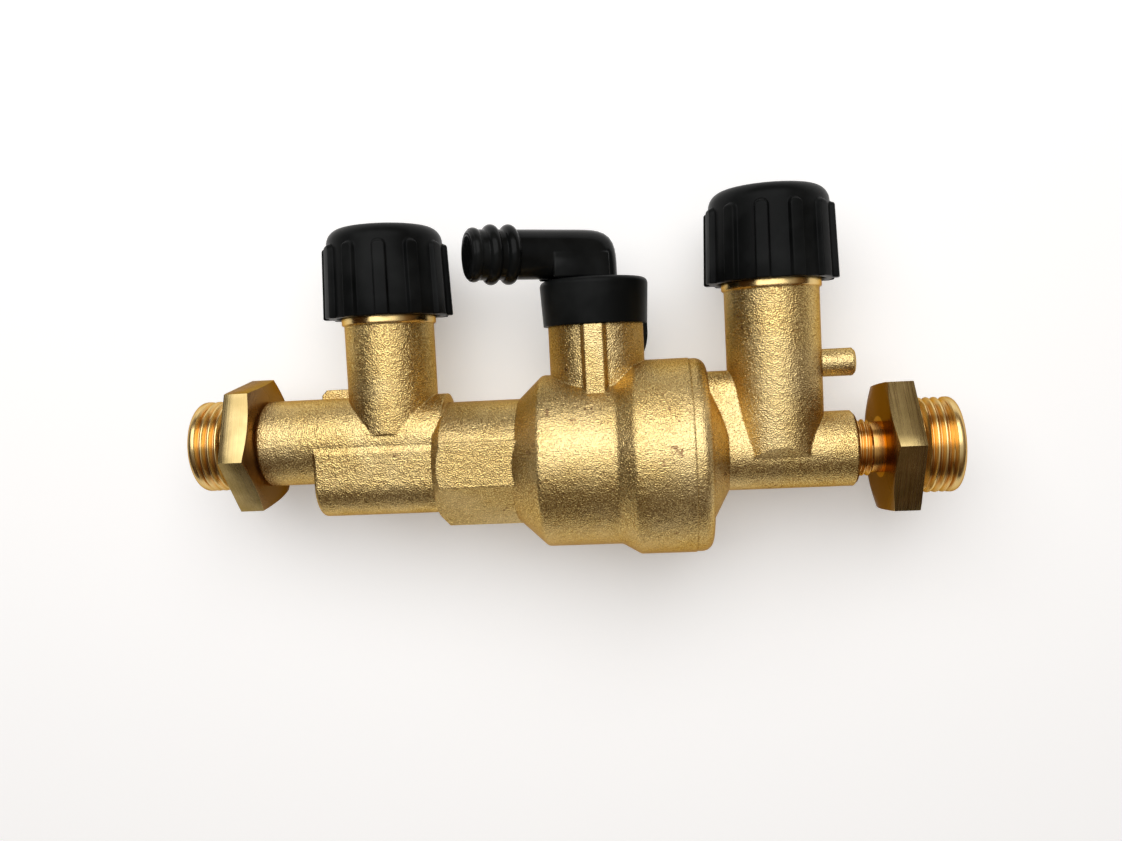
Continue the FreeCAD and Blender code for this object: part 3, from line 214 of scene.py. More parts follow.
class StudioSettings(bpy.types.PropertyGroup):
    """Camera, lights and floor."""

    lens: bpy.props.FloatProperty(
        name="Lens", description="Focal length in millimetres for a 36 mm wide sensor",
        default=29.99)
    distance: length_setting("Distance", "From the camera to the point it looks at", 169.31)
    target: bpy.props.FloatVectorProperty(
        name="Target", description="The point the camera looks at", size=3,
        subtype="TRANSLATION", default=(-67.4 * MM, 7.13 * MM, 0.0))
    turn: bpy.props.FloatVectorProperty(
        name="Turn", description="How the valve is turned before the camera", size=3,
        subtype="EULER", default=(math.radians(3.23), math.radians(-5.28), math.radians(2.59)))
    lamp_power: bpy.props.FloatProperty(
        name="Lamp power", description="Power of the key lamp", default=2.2, unit="POWER")
    horizon: colour_setting("Horizon", "World light at the horizon", 0.035, 0.016, 0.006)
    middle: colour_setting("Middle", "World light half way up", 0.17, 0.11, 0.058)
    zenith: colour_setting("Zenith", "World light from above", 0.60, 0.60, 0.60)
    floor: colour_setting("Floor", "Pale studio floor", 0.94, 0.94, 0.94)
    floor_lift: bpy.props.FloatProperty(
        name="Floor lift", description="Lifts the floor to white where it is seen as background",
        default=0.24)


def settings():
    return bpy.context.scene.valve


def dress(piece, material):
    piece.data.materials.clear()
    piece.data.materials.append(material)


def new_piece(name, bm, body, replaced, material):
    """Makes an object of a bmesh, at the origin, that stands for a CAD node."""
    mesh = bpy.data.meshes.new(name)
    bm.normal_update()
    bm.to_mesh(mesh)
    bm.free()
    for polygon in mesh.polygons:
        polygon.use_smooth = True
    mesh.set_sharp_from_angle(angle=SMOOTH_UP_TO)
    piece = bpy.data.objects.new(name, mesh)
    bpy.context.collection.objects.link(piece)
    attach(piece, body)
    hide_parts(replaced)
    dress(piece, material)


def add_part(bm, part):
    """Puts a finished bmesh into another one."""
    mesh = bpy.data.meshes.new("part")
    part.to_mesh(mesh)
    part.free()
    bm.from_mesh(mesh)
    bpy.data.meshes.remove(mesh)


def verts_in(geometry):
    return [item for item in geometry if isinstance(item, bmesh.types.BMVert)]


def edges_in(geometry):
    return [item for item in geometry if isinstance(item, bmesh.types.BMEdge)]


def arc(centre_x, centre_r, radius, start, end, count):
    """Points of an arc in the plane of a lathe's outline; angles in degrees."""
    points = []
    for step in range(count + 1):
        angle = math.radians(start + (end - start) * step / count)
        points.append((centre_x + radius * math.cos(angle), centre_r + radius * math.sin(angle)))
    return points


def draw_outline(bm, points):
    """Draws a closed outline of (along, radius) points beside the X axis."""
    verts = [bm.verts.new((along, radius, 0.0)) for along, radius in points]
    return verts + [bm.edges.new(pair) for pair in zip(verts, verts[1:] + verts[:1])]


def lathe(bm, points, steps):
    """Spins a closed outline of (along, radius) points about the X axis."""
    bmesh.ops.spin(
        bm, geom=draw_outline(bm, points), cent=(0, 0, 0), axis=(1, 0, 0), angle=FULL_TURN,
        steps=steps, use_merge=True, use_duplicate=False)
    bmesh.ops.recalc_face_normals(bm, faces=bm.faces)


# The hexagon's cone on its shank side, the rounding of its edges and what counts as an edge
HEX_CONE = math.tan(math.radians(18.0))
HEX_EDGE = 0.09 * MM
HEX_EDGE_FROM = math.radians(25.0)


def hexagon_radius(angle, flat_radius):
    sector = FULL_TURN / 6
    off_middle = (angle + sector / 2) % sector - sector / 2
    return flat_radius / math.cos(off_middle - math.copysign(sector / 2, off_middle))


def shape_hexagon(bm, thread_side, shank_side, flat_radius, turn):
    """Pushes a lathed blank's widest rings out to a hexagon, with a cone on its shank side."""
    sign = 1.0 if thread_side > shank_side else -1.0
    stays_round = flat_radius - 0.05 * MM
    for vert in bm.verts:
        radius = math.hypot(vert.co.y, vert.co.z)
        if radius < stays_round:
            continue
        angle = math.atan2(vert.co.z, vert.co.y) - turn
        corner = hexagon_radius(angle, flat_radius)
        vert.co.y *= corner / radius
        vert.co.z *= corner / radius
        if abs(vert.co.x - shank_side) < abs(vert.co.x - thread_side):
            vert.co.x += sign * (corner - flat_radius) * HEX_CONE


def round_hexagon_edges(bm, beyond):
    """Bevels the edges that lie beyond a radius."""
    edges = [edge for edge in bm.edges
             if edge.is_manifold and edge.calc_face_angle(0.0) > HEX_EDGE_FROM
             and min(math.hypot(vert.co.y, vert.co.z) for vert in edge.verts) > beyond]
    bmesh.ops.bevel(
        bm, geom=edges, offset=HEX_EDGE, segments=2, profile=0.5, affect="EDGES", material=-1)


# A thread's ridge as shares of its pitch and height, and how far its base sinks into the core
RIDGE = ((-0.5, 0.0), (-0.40, 0.10), (-0.17, 0.80), (-0.10, 0.95), (0.0, 1.0),
         (0.10, 0.95), (0.17, 0.80), (0.40, 0.10), (0.5, 0.0))
RIDGE_HEIGHT = 1.05
RIDGE_SUNK = 0.25
# At a thread's ends its crest drops by this share of the depth in one length of fade, and stops
# dropping after so many lengths
FADE_DROP = 0.75
FADE_STOP = 1.6


def thread_section(pitch, depth, crest_radius):
    """Closed section of one ridge with a rounded crest, as (along, radius) points."""
    root = crest_radius - depth * RIDGE_HEIGHT
    points = [(along * pitch, root + share * depth * RIDGE_HEIGHT) for along, share in RIDGE]
    sunk = root - RIDGE_SUNK * depth
    return points + [(0.5 * pitch, sunk), (-0.5 * pitch, sunk)]


def add_thread(bm, start, end, pitch, depth, crest_radius, steps, fade):
    """Winds a thread's ridge from start to end along X, sinking into the core at both ends."""
    turns = abs(end - start) / pitch
    count = max(2, round(turns * steps))
    direction = math.copysign(1.0, end - start)
    section = thread_section(pitch, depth, crest_radius)
    ridge = bmesh.new()
    bmesh.ops.spin(
        ridge, geom=draw_outline(ridge, [(start + along, radius) for along, radius in section]),
        cent=(0, 0, 0), axis=(1, 0, 0), dvec=(direction * abs(end - start) / count, 0, 0),
        angle=-direction * turns * FULL_TURN, steps=count, use_merge=False, use_duplicate=False)
    bmesh.ops.holes_fill(
        ridge, edges=[edge for edge in ridge.edges if edge.is_boundary], sides=0)
    low, high = min(start, end), max(start, end)
    for vert in ridge.verts:
        beyond = max(low + fade - vert.co.x, vert.co.x - high + fade, 0.0)
        radius = math.hypot(vert.co.y, vert.co.z)
        limit = crest_radius - min(beyond / fade, FADE_STOP) * depth * FADE_DROP
        if radius > limit:
            vert.co.y *= limit / radius
            vert.co.z *= limit / radius
    bmesh.ops.recalc_face_normals(ridge, faces=ridge.faces)
    add_part(bm, ridge)


def nipple_blank(end_x, towards, hex_near, hex_far, shank_end):
    """Outline of a nipple without its ridges. towards is +1 where the large thread points to +X."""
    sizes = settings().nipple
    threads = settings().threads
    flat = sizes.across_flats / 2
    large_core = sizes.large_radius - threads.large_depth
    small_core = sizes.small_radius - threads.small_depth
    lip = 1.05 * MM
    rim = 0.15 * MM
    slope = 0.5 * MM
    outline = [(end_x - towards * rim, sizes.mouth_radius), (end_x, sizes.mouth_radius + rim)]
    outline += [(end_x - towards * (lip - along), sizes.large_radius - lip + radius)
                for along, radius in arc(0.0, 0.0, lip, 0.0, 90.0, 6)]
    thread_from = end_x - towards * threads.end_land
    mouth_bottom = end_x - towards * sizes.mouth_depth
    outline += [
        (thread_from, sizes.large_radius - 0.02 * MM),
        (thread_from - towards * slope, large_core),
        (hex_near, large_core),
        (hex_near, flat - 0.9 * MM),
        (hex_near, flat),
        (hex_far, flat),
        (hex_far, flat - 1.2 * MM),
        (hex_far, small_core),
        (shank_end + towards * slope, small_core),
        (shank_end, small_core - 0.3 * MM),
        (shank_end, sizes.bore_radius),
        (mouth_bottom - towards * (sizes.mouth_radius - sizes.bore_radius), sizes.bore_radius),
        (mouth_bottom, sizes.mouth_radius),
    ]
    return outline


def build_nipple(name, towards, turn):
    """Models a nipple; towards is +1 where its large thread points to +X, and -1 otherwise."""
    sizes = settings().nipple
    threads = settings().threads
    low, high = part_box(name)
    end_x, shank_end = (high.x, low.x) if towards > 0 else (low.x, high.x)
    hex_near = end_x - towards * sizes.thread_length
    hex_far = hex_near - towards * sizes.hex_thickness
    bm = bmesh.new()
    lathe(bm, nipple_blank(end_x, towards, hex_near, hex_far, shank_end), threads.steps)
    shape_hexagon(bm, hex_near, hex_far, sizes.across_flats / 2, turn)
    round_hexagon_edges(bm, sizes.large_radius + 0.5 * MM)
    add_thread(
        bm, end_x - towards * (threads.end_land + 0.2 * MM), hex_near + towards * sizes.undercut,
        threads.large_pitch, threads.large_depth, sizes.large_radius, threads.steps,
        0.5 * threads.large_pitch)
    add_thread(
        bm, hex_far - towards * sizes.relief, shank_end + towards * threads.small_pitch,
        threads.small_pitch, threads.small_depth, sizes.small_radius, threads.steps,
        0.25 * threads.small_pitch)
    bmesh.ops.translate(bm, verts=bm.verts, vec=(0, (low.y + high.y) / 2, 0))
    new_piece(name + "_threaded", bm, "root", name, material_for(name))


def smooth_step(share):
    share = min(max(share, 0.0), 1.0)
    return share * share * (3.0 - 2.0 * share)


# Shares of half a rib's pitch at which the knob has vertices: close together on a rib's side
RIB_STEPS = (0.0, 0.14, 0.26, 0.30, 0.335, 0.37, 0.405, 0.44, 0.50, 0.70)
# Shares of a rib's straight length, and of the slope above it, at which the knob has a ring
RIB_RINGS = (0.25, 0.5, 0.75, 0.93, 0.96, 0.98, 1.0)
SLOPE_RINGS = (0.15, 0.3, 0.45, 0.6)


def knob_outline(sizes, height):
    """Closed outline of the knob's cap and hub, as (height, radius) points from the open end."""
    edge = 0.22 * MM
    shoulder_low = height - sizes.crown - sizes.shoulder
    inner_top = height - sizes.roof
    inner_r = sizes.bottom_radius - sizes.wall
    rings = [sizes.rib_length * share for share in RIB_RINGS]
    rings += [sizes.rib_length + sizes.rib_slope * share for share in SLOPE_RINGS]
    slope = (sizes.top_radius - sizes.bottom_radius) / shoulder_low
    outline = [(edge / 3, sizes.bottom_radius - edge / 3), (edge, sizes.bottom_radius)]
    outline += [(ring, sizes.bottom_radius + slope * ring) for ring in rings if ring < shoulder_low]
    outline += arc(
        shoulder_low, sizes.top_radius - sizes.shoulder, sizes.shoulder, 90.0, 8.0, 10)
    return outline + [
        (height - sizes.crown / 4, sizes.top_radius / 2),
        (height, sizes.dimple_radius),
        (height - sizes.roof / 2, sizes.dimple_radius),
        (height - sizes.roof / 2, sizes.socket_radius),
        (sizes.hub_bottom + edge, sizes.socket_radius),
        (sizes.hub_bottom, sizes.socket_radius + edge),
        (sizes.hub_bottom, sizes.hub_radius - edge),
        (sizes.hub_bottom + edge, sizes.hub_radius),
        (inner_top - edge, sizes.hub_radius),
        (inner_top, sizes.hub_radius + edge),
        (inner_top, inner_r - edge),
        (inner_top - edge, inner_r),
        (edge, inner_r),
        (0.0, inner_r + edge),
        (0.0, sizes.bottom_radius - edge),
    ]


def raise_ribs(bm, sizes, turn):
    """Gathers the knob's meridians on the sides of the ribs and pushes the ribs out of its wall."""
    pitch = FULL_TURN / sizes.rib_count
    per_side = len(RIB_STEPS)
    half_angle = pitch / 2 / per_side
    for vert in bm.verts:
        radius = math.hypot(vert.co.y, vert.co.z)
        angle = math.atan2(vert.co.z, vert.co.y)
        rib = round(angle / pitch)
        off = angle - rib * pitch
        index = min(round(abs(off) / half_angle), per_side)
        share = RIB_STEPS[index] if index < per_side else 1.0
        off = math.copysign(share * pitch / 2, off)
        along = share * pitch / 2 * sizes.bottom_radius
        past_end = max(0.0, vert.co.x - sizes.rib_length + sizes.rib_width / 4)
        along = math.hypot(along, past_end)
        side = smooth_step((sizes.rib_width / 2 + sizes.rib_soft / 2 - along) / sizes.rib_soft)
        if radius > sizes.bottom_radius - sizes.wall / 2:
            end = smooth_step((sizes.rib_length + sizes.rib_slope - vert.co.x) / sizes.rib_slope)
            reach = sizes.rib_reach - sizes.rib_draft * vert.co.x / sizes.rib_length
            radius += reach * side * end
        angle = rib * pitch + off + turn
        vert.co.y = radius * math.cos(angle)
        vert.co.z = radius * math.sin(angle)


def build_knob(name, body, turn):
    sizes = settings().knob
    low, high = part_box(name)
    bm = bmesh.new()
    lathe(bm, knob_outline(sizes, high.y - low.y), sizes.rib_count * 2 * len(RIB_STEPS))
    raise_ribs(bm, sizes, turn)
    bmesh.ops.transform(bm, matrix=UPRIGHT, verts=bm.verts)
    bmesh.ops.translate(
        bm, verts=bm.verts, vec=((low.x + high.x) / 2, low.y, (low.z + high.z) / 2))
    new_piece(
        name + "_ribbed", bm, body, name, material_for("black_plastic"))


# Steps around the elbow's tube, round its corner and around its foot
TUBE_STEPS = 48
CORNER_STEPS = 14
FOOT_STEPS = 64


def elbow_arm_outline(sizes):
    """Half outline of the hose end, as (along, radius) points from the tip towards the corner."""
    lip = sizes.ring_round / 2
    outline = [(0.0, sizes.bore_radius), (0.0, sizes.radius - lip)]
    outline += arc(lip, sizes.radius - lip, lip, 180.0, 90.0, 4)[1:]
    crests = [(sizes.lip_place, sizes.lip_radius)]
    crests += [(place, sizes.ring_radius) for place in sizes.ring_places]
    for place, crest in crests:
        spread = math.degrees(math.acos(1.0 - (crest - sizes.radius) / sizes.ring_round))
        outline += arc(
            place, crest - sizes.ring_round, sizes.ring_round, 90.0 + spread, 90.0 - spread, 8)
    return [point for index, point in enumerate(outline)
            if index < 2 or point[0] > outline[index - 1][0]]


def elbow_tube(bm, sizes, outline, radius, corner_x, axis_y, low_y):
    """Sweeps one skin of the elbow: along the arm, round a nearly square corner and down.

    Returns the edges of the skin's open ends, at the tip and at the foot.
    """
    earlier = set(bm.verts)
    first = bmesh.ops.create_circle(bm, segments=TUBE_STEPS, radius=radius)["verts"]
    bmesh.ops.rotate(
        bm, verts=first, cent=(0, 0, 0), matrix=Matrix.Rotation(math.pi / 2, 3, "Y"))
    inner_corner = Vector((corner_x - radius, axis_y - radius, 0.0))
    bmesh.ops.translate(bm, verts=first, vec=(corner_x - radius, axis_y, 0.0))
    ring = list({edge for vert in first for edge in vert.link_edges})
    tip = ring
    for along, arm_radius in reversed(outline):
        grown = bmesh.ops.extrude_edge_only(bm, edges=tip)["geom"]
        verts = verts_in(grown)
        tip = [edge for edge in edges_in(grown)
               if edge.verts[0] in verts and edge.verts[1] in verts and edge.is_boundary]
        for vert in verts:
            vert.co.x = corner_x - sizes.reach + along
            scale = arm_radius / math.hypot(vert.co.y - axis_y, vert.co.z)
            vert.co.y = axis_y + (vert.co.y - axis_y) * scale
            vert.co.z *= scale
    bent = bmesh.ops.spin(
        bm, geom=first + ring, cent=inner_corner, axis=(0, 0, 1), angle=-math.pi / 2,
        steps=CORNER_STEPS, use_merge=False, use_duplicate=False)["geom_last"]
    power = sizes.squareness
    for vert in bm.verts:
        off = vert.co - inner_corner
        if vert not in earlier and off.x > -TINY and off.y > -TINY:
            angle = math.atan2(max(off.y, 0.0), max(off.x, 0.0)) if off.length > TINY else 0.0
            stretch = (math.cos(angle) ** power + math.sin(angle) ** power) ** (-1.0 / power)
            vert.co.x = inner_corner.x + off.x * stretch
            vert.co.y = inner_corner.y + off.y * stretch
    drop = low_y - verts_in(bent)[0].co.y
    down = bmesh.ops.extrude_edge_only(bm, edges=edges_in(bent))["geom"]
    bmesh.ops.translate(bm, verts=verts_in(down), vec=(0, drop, 0))
    return tip, [edge for edge in edges_in(down) if edge.is_boundary]


def elbow_foot(bm, sizes, corner_x, collar_top, spigot_low, groove_y):
    """Stem, flange and grooved spigot under the riser, lathed about the port's axis."""
    edge = 0.15 * MM
    stem_top = collar_top + 0.3 * MM
    foot_top = collar_top - sizes.foot_drop
    foot_low = foot_top - sizes.foot_height
    groove_r = sizes.spigot_radius - sizes.groove_depth
    groove_top, groove_low = groove_y + sizes.groove_depth, groove_y - sizes.groove_depth
    part = bmesh.new()
    lathe(part, [
        (stem_top, sizes.bore_radius), (stem_top, sizes.stem_radius - edge),
        (stem_top - edge, sizes.stem_radius), (foot_top, sizes.stem_radius),
        (foot_top, sizes.foot_radius - edge), (foot_top - edge, sizes.foot_radius),
        (foot_low + edge, sizes.foot_radius), (foot_low, sizes.foot_radius - edge),
        (foot_low, sizes.spigot_radius), (groove_top, sizes.spigot_radius),
        (groove_top, groove_r), (groove_low, groove_r),
        (groove_low, sizes.spigot_radius), (spigot_low + edge, sizes.spigot_radius),
        (spigot_low, sizes.spigot_radius - edge), (spigot_low, sizes.bore_radius),
    ], FOOT_STEPS)
    bmesh.ops.transform(part, matrix=UPRIGHT, verts=part.verts)
    bmesh.ops.translate(part, verts=part.verts, vec=(corner_x, 0, 0))
    bmesh.ops.recalc_face_normals(part, faces=part.faces)
    add_part(bm, part)


def elbow_squared_side(bm, sizes, corner_x, axis_y):
    """The bevelled block that squares the elbow's lower side, in two cheeks beside the bore."""
    part = bmesh.new()
    bmesh.ops.create_cube(part, size=1.0)
    width = sizes.flat_to - sizes.flat_from
    middle = corner_x - (sizes.flat_to + sizes.flat_from) / 2
    thickness = sizes.radius - sizes.bore_radius
    apart = sizes.radius + sizes.bore_radius
    bmesh.ops.scale(part, verts=part.verts, vec=(width, sizes.radius, thickness))
    bmesh.ops.translate(
        part, verts=part.verts, vec=(middle, axis_y - sizes.radius / 2, apart / 2))
    other = bmesh.ops.duplicate(
        part, geom=part.verts[:] + part.edges[:] + part.faces[:])["geom"]
    bmesh.ops.translate(part, verts=verts_in(other), vec=(0, 0, -apart))
    bmesh.ops.bevel(
        part, geom=part.edges[:], offset=0.3 * MM, segments=3, profile=0.5, affect="EDGES",
        material=-1)
    bmesh.ops.recalc_face_normals(part, faces=part.faces)
    add_part(bm, part)


def build_elbow():
    sizes = settings().elbow
    low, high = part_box("drain_elbow")
    seal_low, seal_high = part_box("drain_elbow_seal")
    collar_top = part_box("drain_collar")[1].y
    corner_x = (seal_low.x + seal_high.x) / 2
    axis_y = high.y - sizes.ring_radius
    riser_low = collar_top + 0.1 * MM
    bm = bmesh.new()
    outer = elbow_arm_outline(sizes)[1:]
    inner = [(0.0, sizes.bore_radius), (sizes.reach - sizes.radius * 2, sizes.bore_radius)]
    tip_out, foot_out = elbow_tube(bm, sizes, outer, sizes.radius, corner_x, axis_y, riser_low)
    tip_in, foot_in = elbow_tube(
        bm, sizes, inner, sizes.bore_radius, corner_x, axis_y, riser_low)
    bmesh.ops.bridge_loops(bm, edges=tip_out + tip_in)
    bmesh.ops.bridge_loops(bm, edges=foot_out + foot_in)
    bmesh.ops.remove_doubles(bm, verts=bm.verts, dist=TINY)
    bmesh.ops.recalc_face_normals(bm, faces=bm.faces)
    elbow_squared_side(bm, sizes, corner_x, axis_y)
    elbow_foot(bm, sizes, corner_x, collar_top, low.y, (seal_low.y + seal_high.y) / 2)
    bmesh.ops.rotate(
        bm, verts=bm.verts, cent=(corner_x, 0, 0), matrix=Matrix.Rotation(sizes.turn, 3, "Y"))
    new_piece(
        "drain_elbow_moulded", bm, "drain_outlet", "drain_elbow",
        material_for("gloss_black_plastic"))


# Scales of the patterns, in cells for each metre
GRAIN_SCALE = 4800.0
TOOL_SCALE = 4000.0
SCUFF_SCALE = 900.0
# Metallic of the two kinds of surface
METAL, PLASTIC = 1.0, 0.0


def grey(value):
    return (value, value, value, 1.0)


def feed(tree, socket, value):
    """Links a socket to another one, or sets it to a plain value."""
    if isinstance(value, bpy.types.NodeSocket):
        tree.links.new(value, socket)
    else:
        socket.default_value = value


def noise(tree, vector, scale, detail, roughness=0.5):
    node = tree.nodes.new("ShaderNodeTexNoise")
    for label, value in (
            ("Detail", detail), ("Roughness", roughness), ("Scale", scale), ("Vector", vector)):
        feed(tree, node.inputs[label], value)
    return node.outputs["Fac"]


def math_node(tree, operation, first, second):
    node = tree.nodes.new("ShaderNodeMath")
    node.operation = operation
    feed(tree, node.inputs[0], first)
    feed(tree, node.inputs[1], second)
    return node.outputs[0]


def ramp(tree, factor, stops):
    node = tree.nodes.new("ShaderNodeValToRGB")
    tree.links.new(factor, node.inputs["Fac"])
    elements = node.color_ramp.elements
    while len(elements) < len(stops):
        elements.new(0.5)
    for element, (position, colour) in zip(elements, stops):
        element.position = position
        element.color = colour
    return node.outputs["Color"]


def grey_ramp(tree, factor, low, low_value, high, high_value):
    """Turns the factors from low to high into the greys from low_value to high_value."""
    return ramp(tree, factor, [(low, grey(low_value)), (high, grey(high_value))])


def mix_colour(tree, factor, first, second):
    node = tree.nodes.new("ShaderNodeMix")
    node.data_type = "RGBA"
    for label, value in (("Factor", factor), ("A", first), ("B", second)):
        feed(tree, node.inputs[label], value)
    return node.outputs["Result"]


def split_vector(tree, vector):
    """The outputs X, Y and Z of a vector."""
    node = tree.nodes.new("ShaderNodeSeparateXYZ")
    tree.links.new(vector, node.inputs["Vector"])
    return node.outputs


def new_group(name, scale, inputs, outputs):
    """A shader node group with a vector, a scale and its own sockets, and its two end nodes."""
    group = bpy.data.node_groups.new(name, "ShaderNodeTree")
    inputs = [("Vector", "NodeSocketVector", None), ("Scale", "NodeSocketFloat", scale)] + inputs
    for label, kind, value in inputs:
        socket = group.interface.new_socket(label, in_out="INPUT", socket_type=kind)
        if value is not None:
            socket.default_value = value
    for label in outputs:
        group.interface.new_socket(label, in_out="OUTPUT", socket_type="NodeSocketFloat")
    nodes = group.nodes
    return group, nodes.new("NodeGroupInput").outputs, nodes.new("NodeGroupOutput").inputs


def grain_group():
    """Sand-cast grain: a height for the bump and a mask that is white on its peaks."""
    tree, inside, outside = new_group("Cast grain", GRAIN_SCALE, [], ["Height", "Peaks"])
    vector, scale = inside["Vector"], inside["Scale"]
    fine = noise(tree, vector, scale, 0.6)
    broad = noise(tree, vector, math_node(tree, "MULTIPLY", scale, 0.2), 1.0)
    height = math_node(tree, "ADD", fine, math_node(tree, "MULTIPLY", broad, 0.8))
    tree.links.new(height, outside["Height"])
    tree.links.new(grey_ramp(tree, fine, 0.36, 0.0, 0.58, 1.0), outside["Peaks"])
    return tree


def stain_group():
    """Large soft stains and a few small dark specks."""
    tree, inside, outside = new_group("Stains", 60.0, [], ["Patches", "Specks"])
    vector, scale = inside["Vector"], inside["Scale"]
    soft = noise(tree, vector, scale, 3.0, 0.6)
    tree.links.new(grey_ramp(tree, soft, 0.42, 0.0, 0.68, 1.0), outside["Patches"])
    fine = noise(tree, vector, math_node(tree, "MULTIPLY", scale, 22.0), 2.0)
    rare = noise(tree, vector, math_node(tree, "MULTIPLY", scale, 2.5), 1.0)
    both = math_node(tree, "MULTIPLY", fine, rare)
    tree.links.new(grey_ramp(tree, both, 0.43, 0.0, 0.50, 1.0), outside["Specks"])
    return tree


def scuff_group():
    """A ragged stain around one point."""
    tree, inside, outside = new_group("Scuff", SCUFF_SCALE, [
        ("Centre", "NodeSocketVector", (0.0, 0.0, 0.0)),
        ("Radius", "NodeSocketFloat", 3.0 * MM)], ["Mask"])
    gap = tree.nodes.new("ShaderNodeVectorMath")
    gap.operation = "DISTANCE"
    tree.links.new(inside["Vector"], gap.inputs[0])
    tree.links.new(inside["Centre"], gap.inputs[1])
    share = math_node(tree, "DIVIDE", gap.outputs["Value"], inside["Radius"])
    near = grey_ramp(tree, share, 0.25, 0.5, 1.0, 0.0)
    ragged = noise(tree, inside["Vector"], inside["Scale"], 3.0, 0.65)
    both = math_node(tree, "ADD", ragged, math_node(tree, "SUBTRACT", near, 0.5))
    tree.links.new(grey_ramp(tree, both, 0.44, 0.0, 0.56, 0.85), outside["Mask"])
    return tree


def tool_lines_group():
    """Fine lines left by a turning tool, stretched around the X axis, as a height."""
    tree, inside, outside = new_group("Tool lines", TOOL_SCALE, [], ["Height"])
    stretch = tree.nodes.new("ShaderNodeMapping")
    stretch.inputs["Scale"].default_value = (1.0, 0.02, 0.02)
    tree.links.new(inside["Vector"], stretch.inputs["Vector"])
    lines = noise(tree, stretch.outputs["Vector"], inside["Scale"], 2.0)
    tree.links.new(lines, outside["Height"])
    return tree


def place_group(tree, group, vector, scale):
    node = tree.nodes.new("ShaderNodeGroup")
    node.node_tree = group
    tree.links.new(vector, node.inputs["Vector"])
    node.inputs["Scale"].default_value = scale
    return node


def new_material(name, metallic, roughness):
    """A material with its node tree and Principled BSDF."""
    material = bpy.data.materials.new(name)
    material.use_nodes = True
    shader = material.node_tree.nodes["Principled BSDF"]
    shader.inputs["Metallic"].default_value = metallic
    shader.inputs["Roughness"].default_value = roughness
    return material, material.node_tree, shader


def object_coordinates(tree):
    return tree.nodes.new("ShaderNodeTexCoord").outputs["Object"]


def new_brass(name, roughness):
    """A material of brass, with the colour that it shows at a grazing angle."""
    material, tree, shader = new_material(name, METAL, roughness)
    shader.inputs["Specular Tint"].default_value = settings().colours.edge_brass
    return material, tree, shader, object_coordinates(tree)


def add_bump(tree, shader, height, distance, strength=1.0, softened=None):
    """Bumps the surface by a height; softened is a rounded normal to start from."""
    bump = tree.nodes.new("ShaderNodeBump")
    bump.inputs["Distance"].default_value = distance
    feed(tree, bump.inputs["Strength"], strength)
    tree.links.new(height, bump.inputs["Height"])
    if softened is not None:
        tree.links.new(softened, bump.inputs["Normal"])
    tree.links.new(bump.outputs["Normal"], shader.inputs["Normal"])


def rounded_edges(tree, radius):
    """A normal that turns softly over edges and into corners."""
    node = tree.nodes.new("ShaderNodeBevel")
    node.samples = 6
    node.inputs["Radius"].default_value = radius
    return node.outputs["Normal"]


def add_scuffs(tree, vector, group, places, base):
    """Lays ragged stains over a colour, one for each (point, radius) in millimetres."""
    for point, radius in places:
        scuff = place_group(tree, group, vector, SCUFF_SCALE)
        scuff.inputs["Centre"].default_value = [value * MM for value in point]
        scuff.inputs["Radius"].default_value = radius * MM
        base = mix_colour(tree, scuff.outputs["Mask"], base, settings().colours.stain)
    return base


def cast_brass_material(name, groups, machined_above, scuffs):
    """Blasted casting, with a smooth machined rim on the tap tower above the given height."""
    colours = settings().colours
    pit_rough, peak_rough, machined_rough = 0.36, 0.25, 0.2
    material, tree, shader, vector = new_brass(name, pit_rough)
    sand = place_group(tree, groups["grain"], vector, GRAIN_SCALE)
    dirt = place_group(tree, groups["stains"], vector, 60.0)
    is_cast = math_node(tree, "LESS_THAN", split_vector(tree, vector)["Y"], machined_above)
    peaks = sand.outputs["Peaks"]
    # The grain's pits take the browner colour: partly a deposit, partly painted shade of brass
    # reflecting on brass
    base = mix_colour(tree, peaks, colours.pit_deposit_and_shade, colours.cast_brass)
    base = mix_colour(tree, dirt.outputs["Patches"], base, colours.pale_brass)
    base = mix_colour(tree, dirt.outputs["Specks"], base, colours.stain)
    base = add_scuffs(tree, vector, groups["scuff"], scuffs, base)
    base = mix_colour(tree, is_cast, colours.turned_brass, base)
    tree.links.new(base, shader.inputs["Base Color"])
    rough = grey_ramp(tree, peaks, 0.0, pit_rough, 1.0, peak_rough)
    rough = mix_colour(tree, is_cast, grey(machined_rough), rough)
    tree.links.new(rough, shader.inputs["Roughness"])
    add_bump(
        tree, shader, sand.outputs["Height"], 0.12 * MM, is_cast, rounded_edges(tree, 0.45 * MM))
    return material


def radius_from_axis(tree, vector, height):
    """Distance from the pipe's axis, which runs along X at the given height."""
    place = split_vector(tree, vector)
    up = math_node(tree, "SUBTRACT", place["Y"], height)
    squares = math_node(
        tree, "ADD", math_node(tree, "MULTIPLY", up, up),
        math_node(tree, "MULTIPLY", place["Z"], place["Z"]))
    return math_node(tree, "SQRT", squares, 0.0)


def faces_the_shank(tree, towards):
    """Mask of the faces that look along X to the nipple's small thread."""
    normal = split_vector(tree, tree.nodes.new("ShaderNodeTexCoord").outputs["Normal"])
    along = math_node(tree, "MULTIPLY", normal["X"], towards)
    return math_node(tree, "GREATER_THAN", along, 0.93)


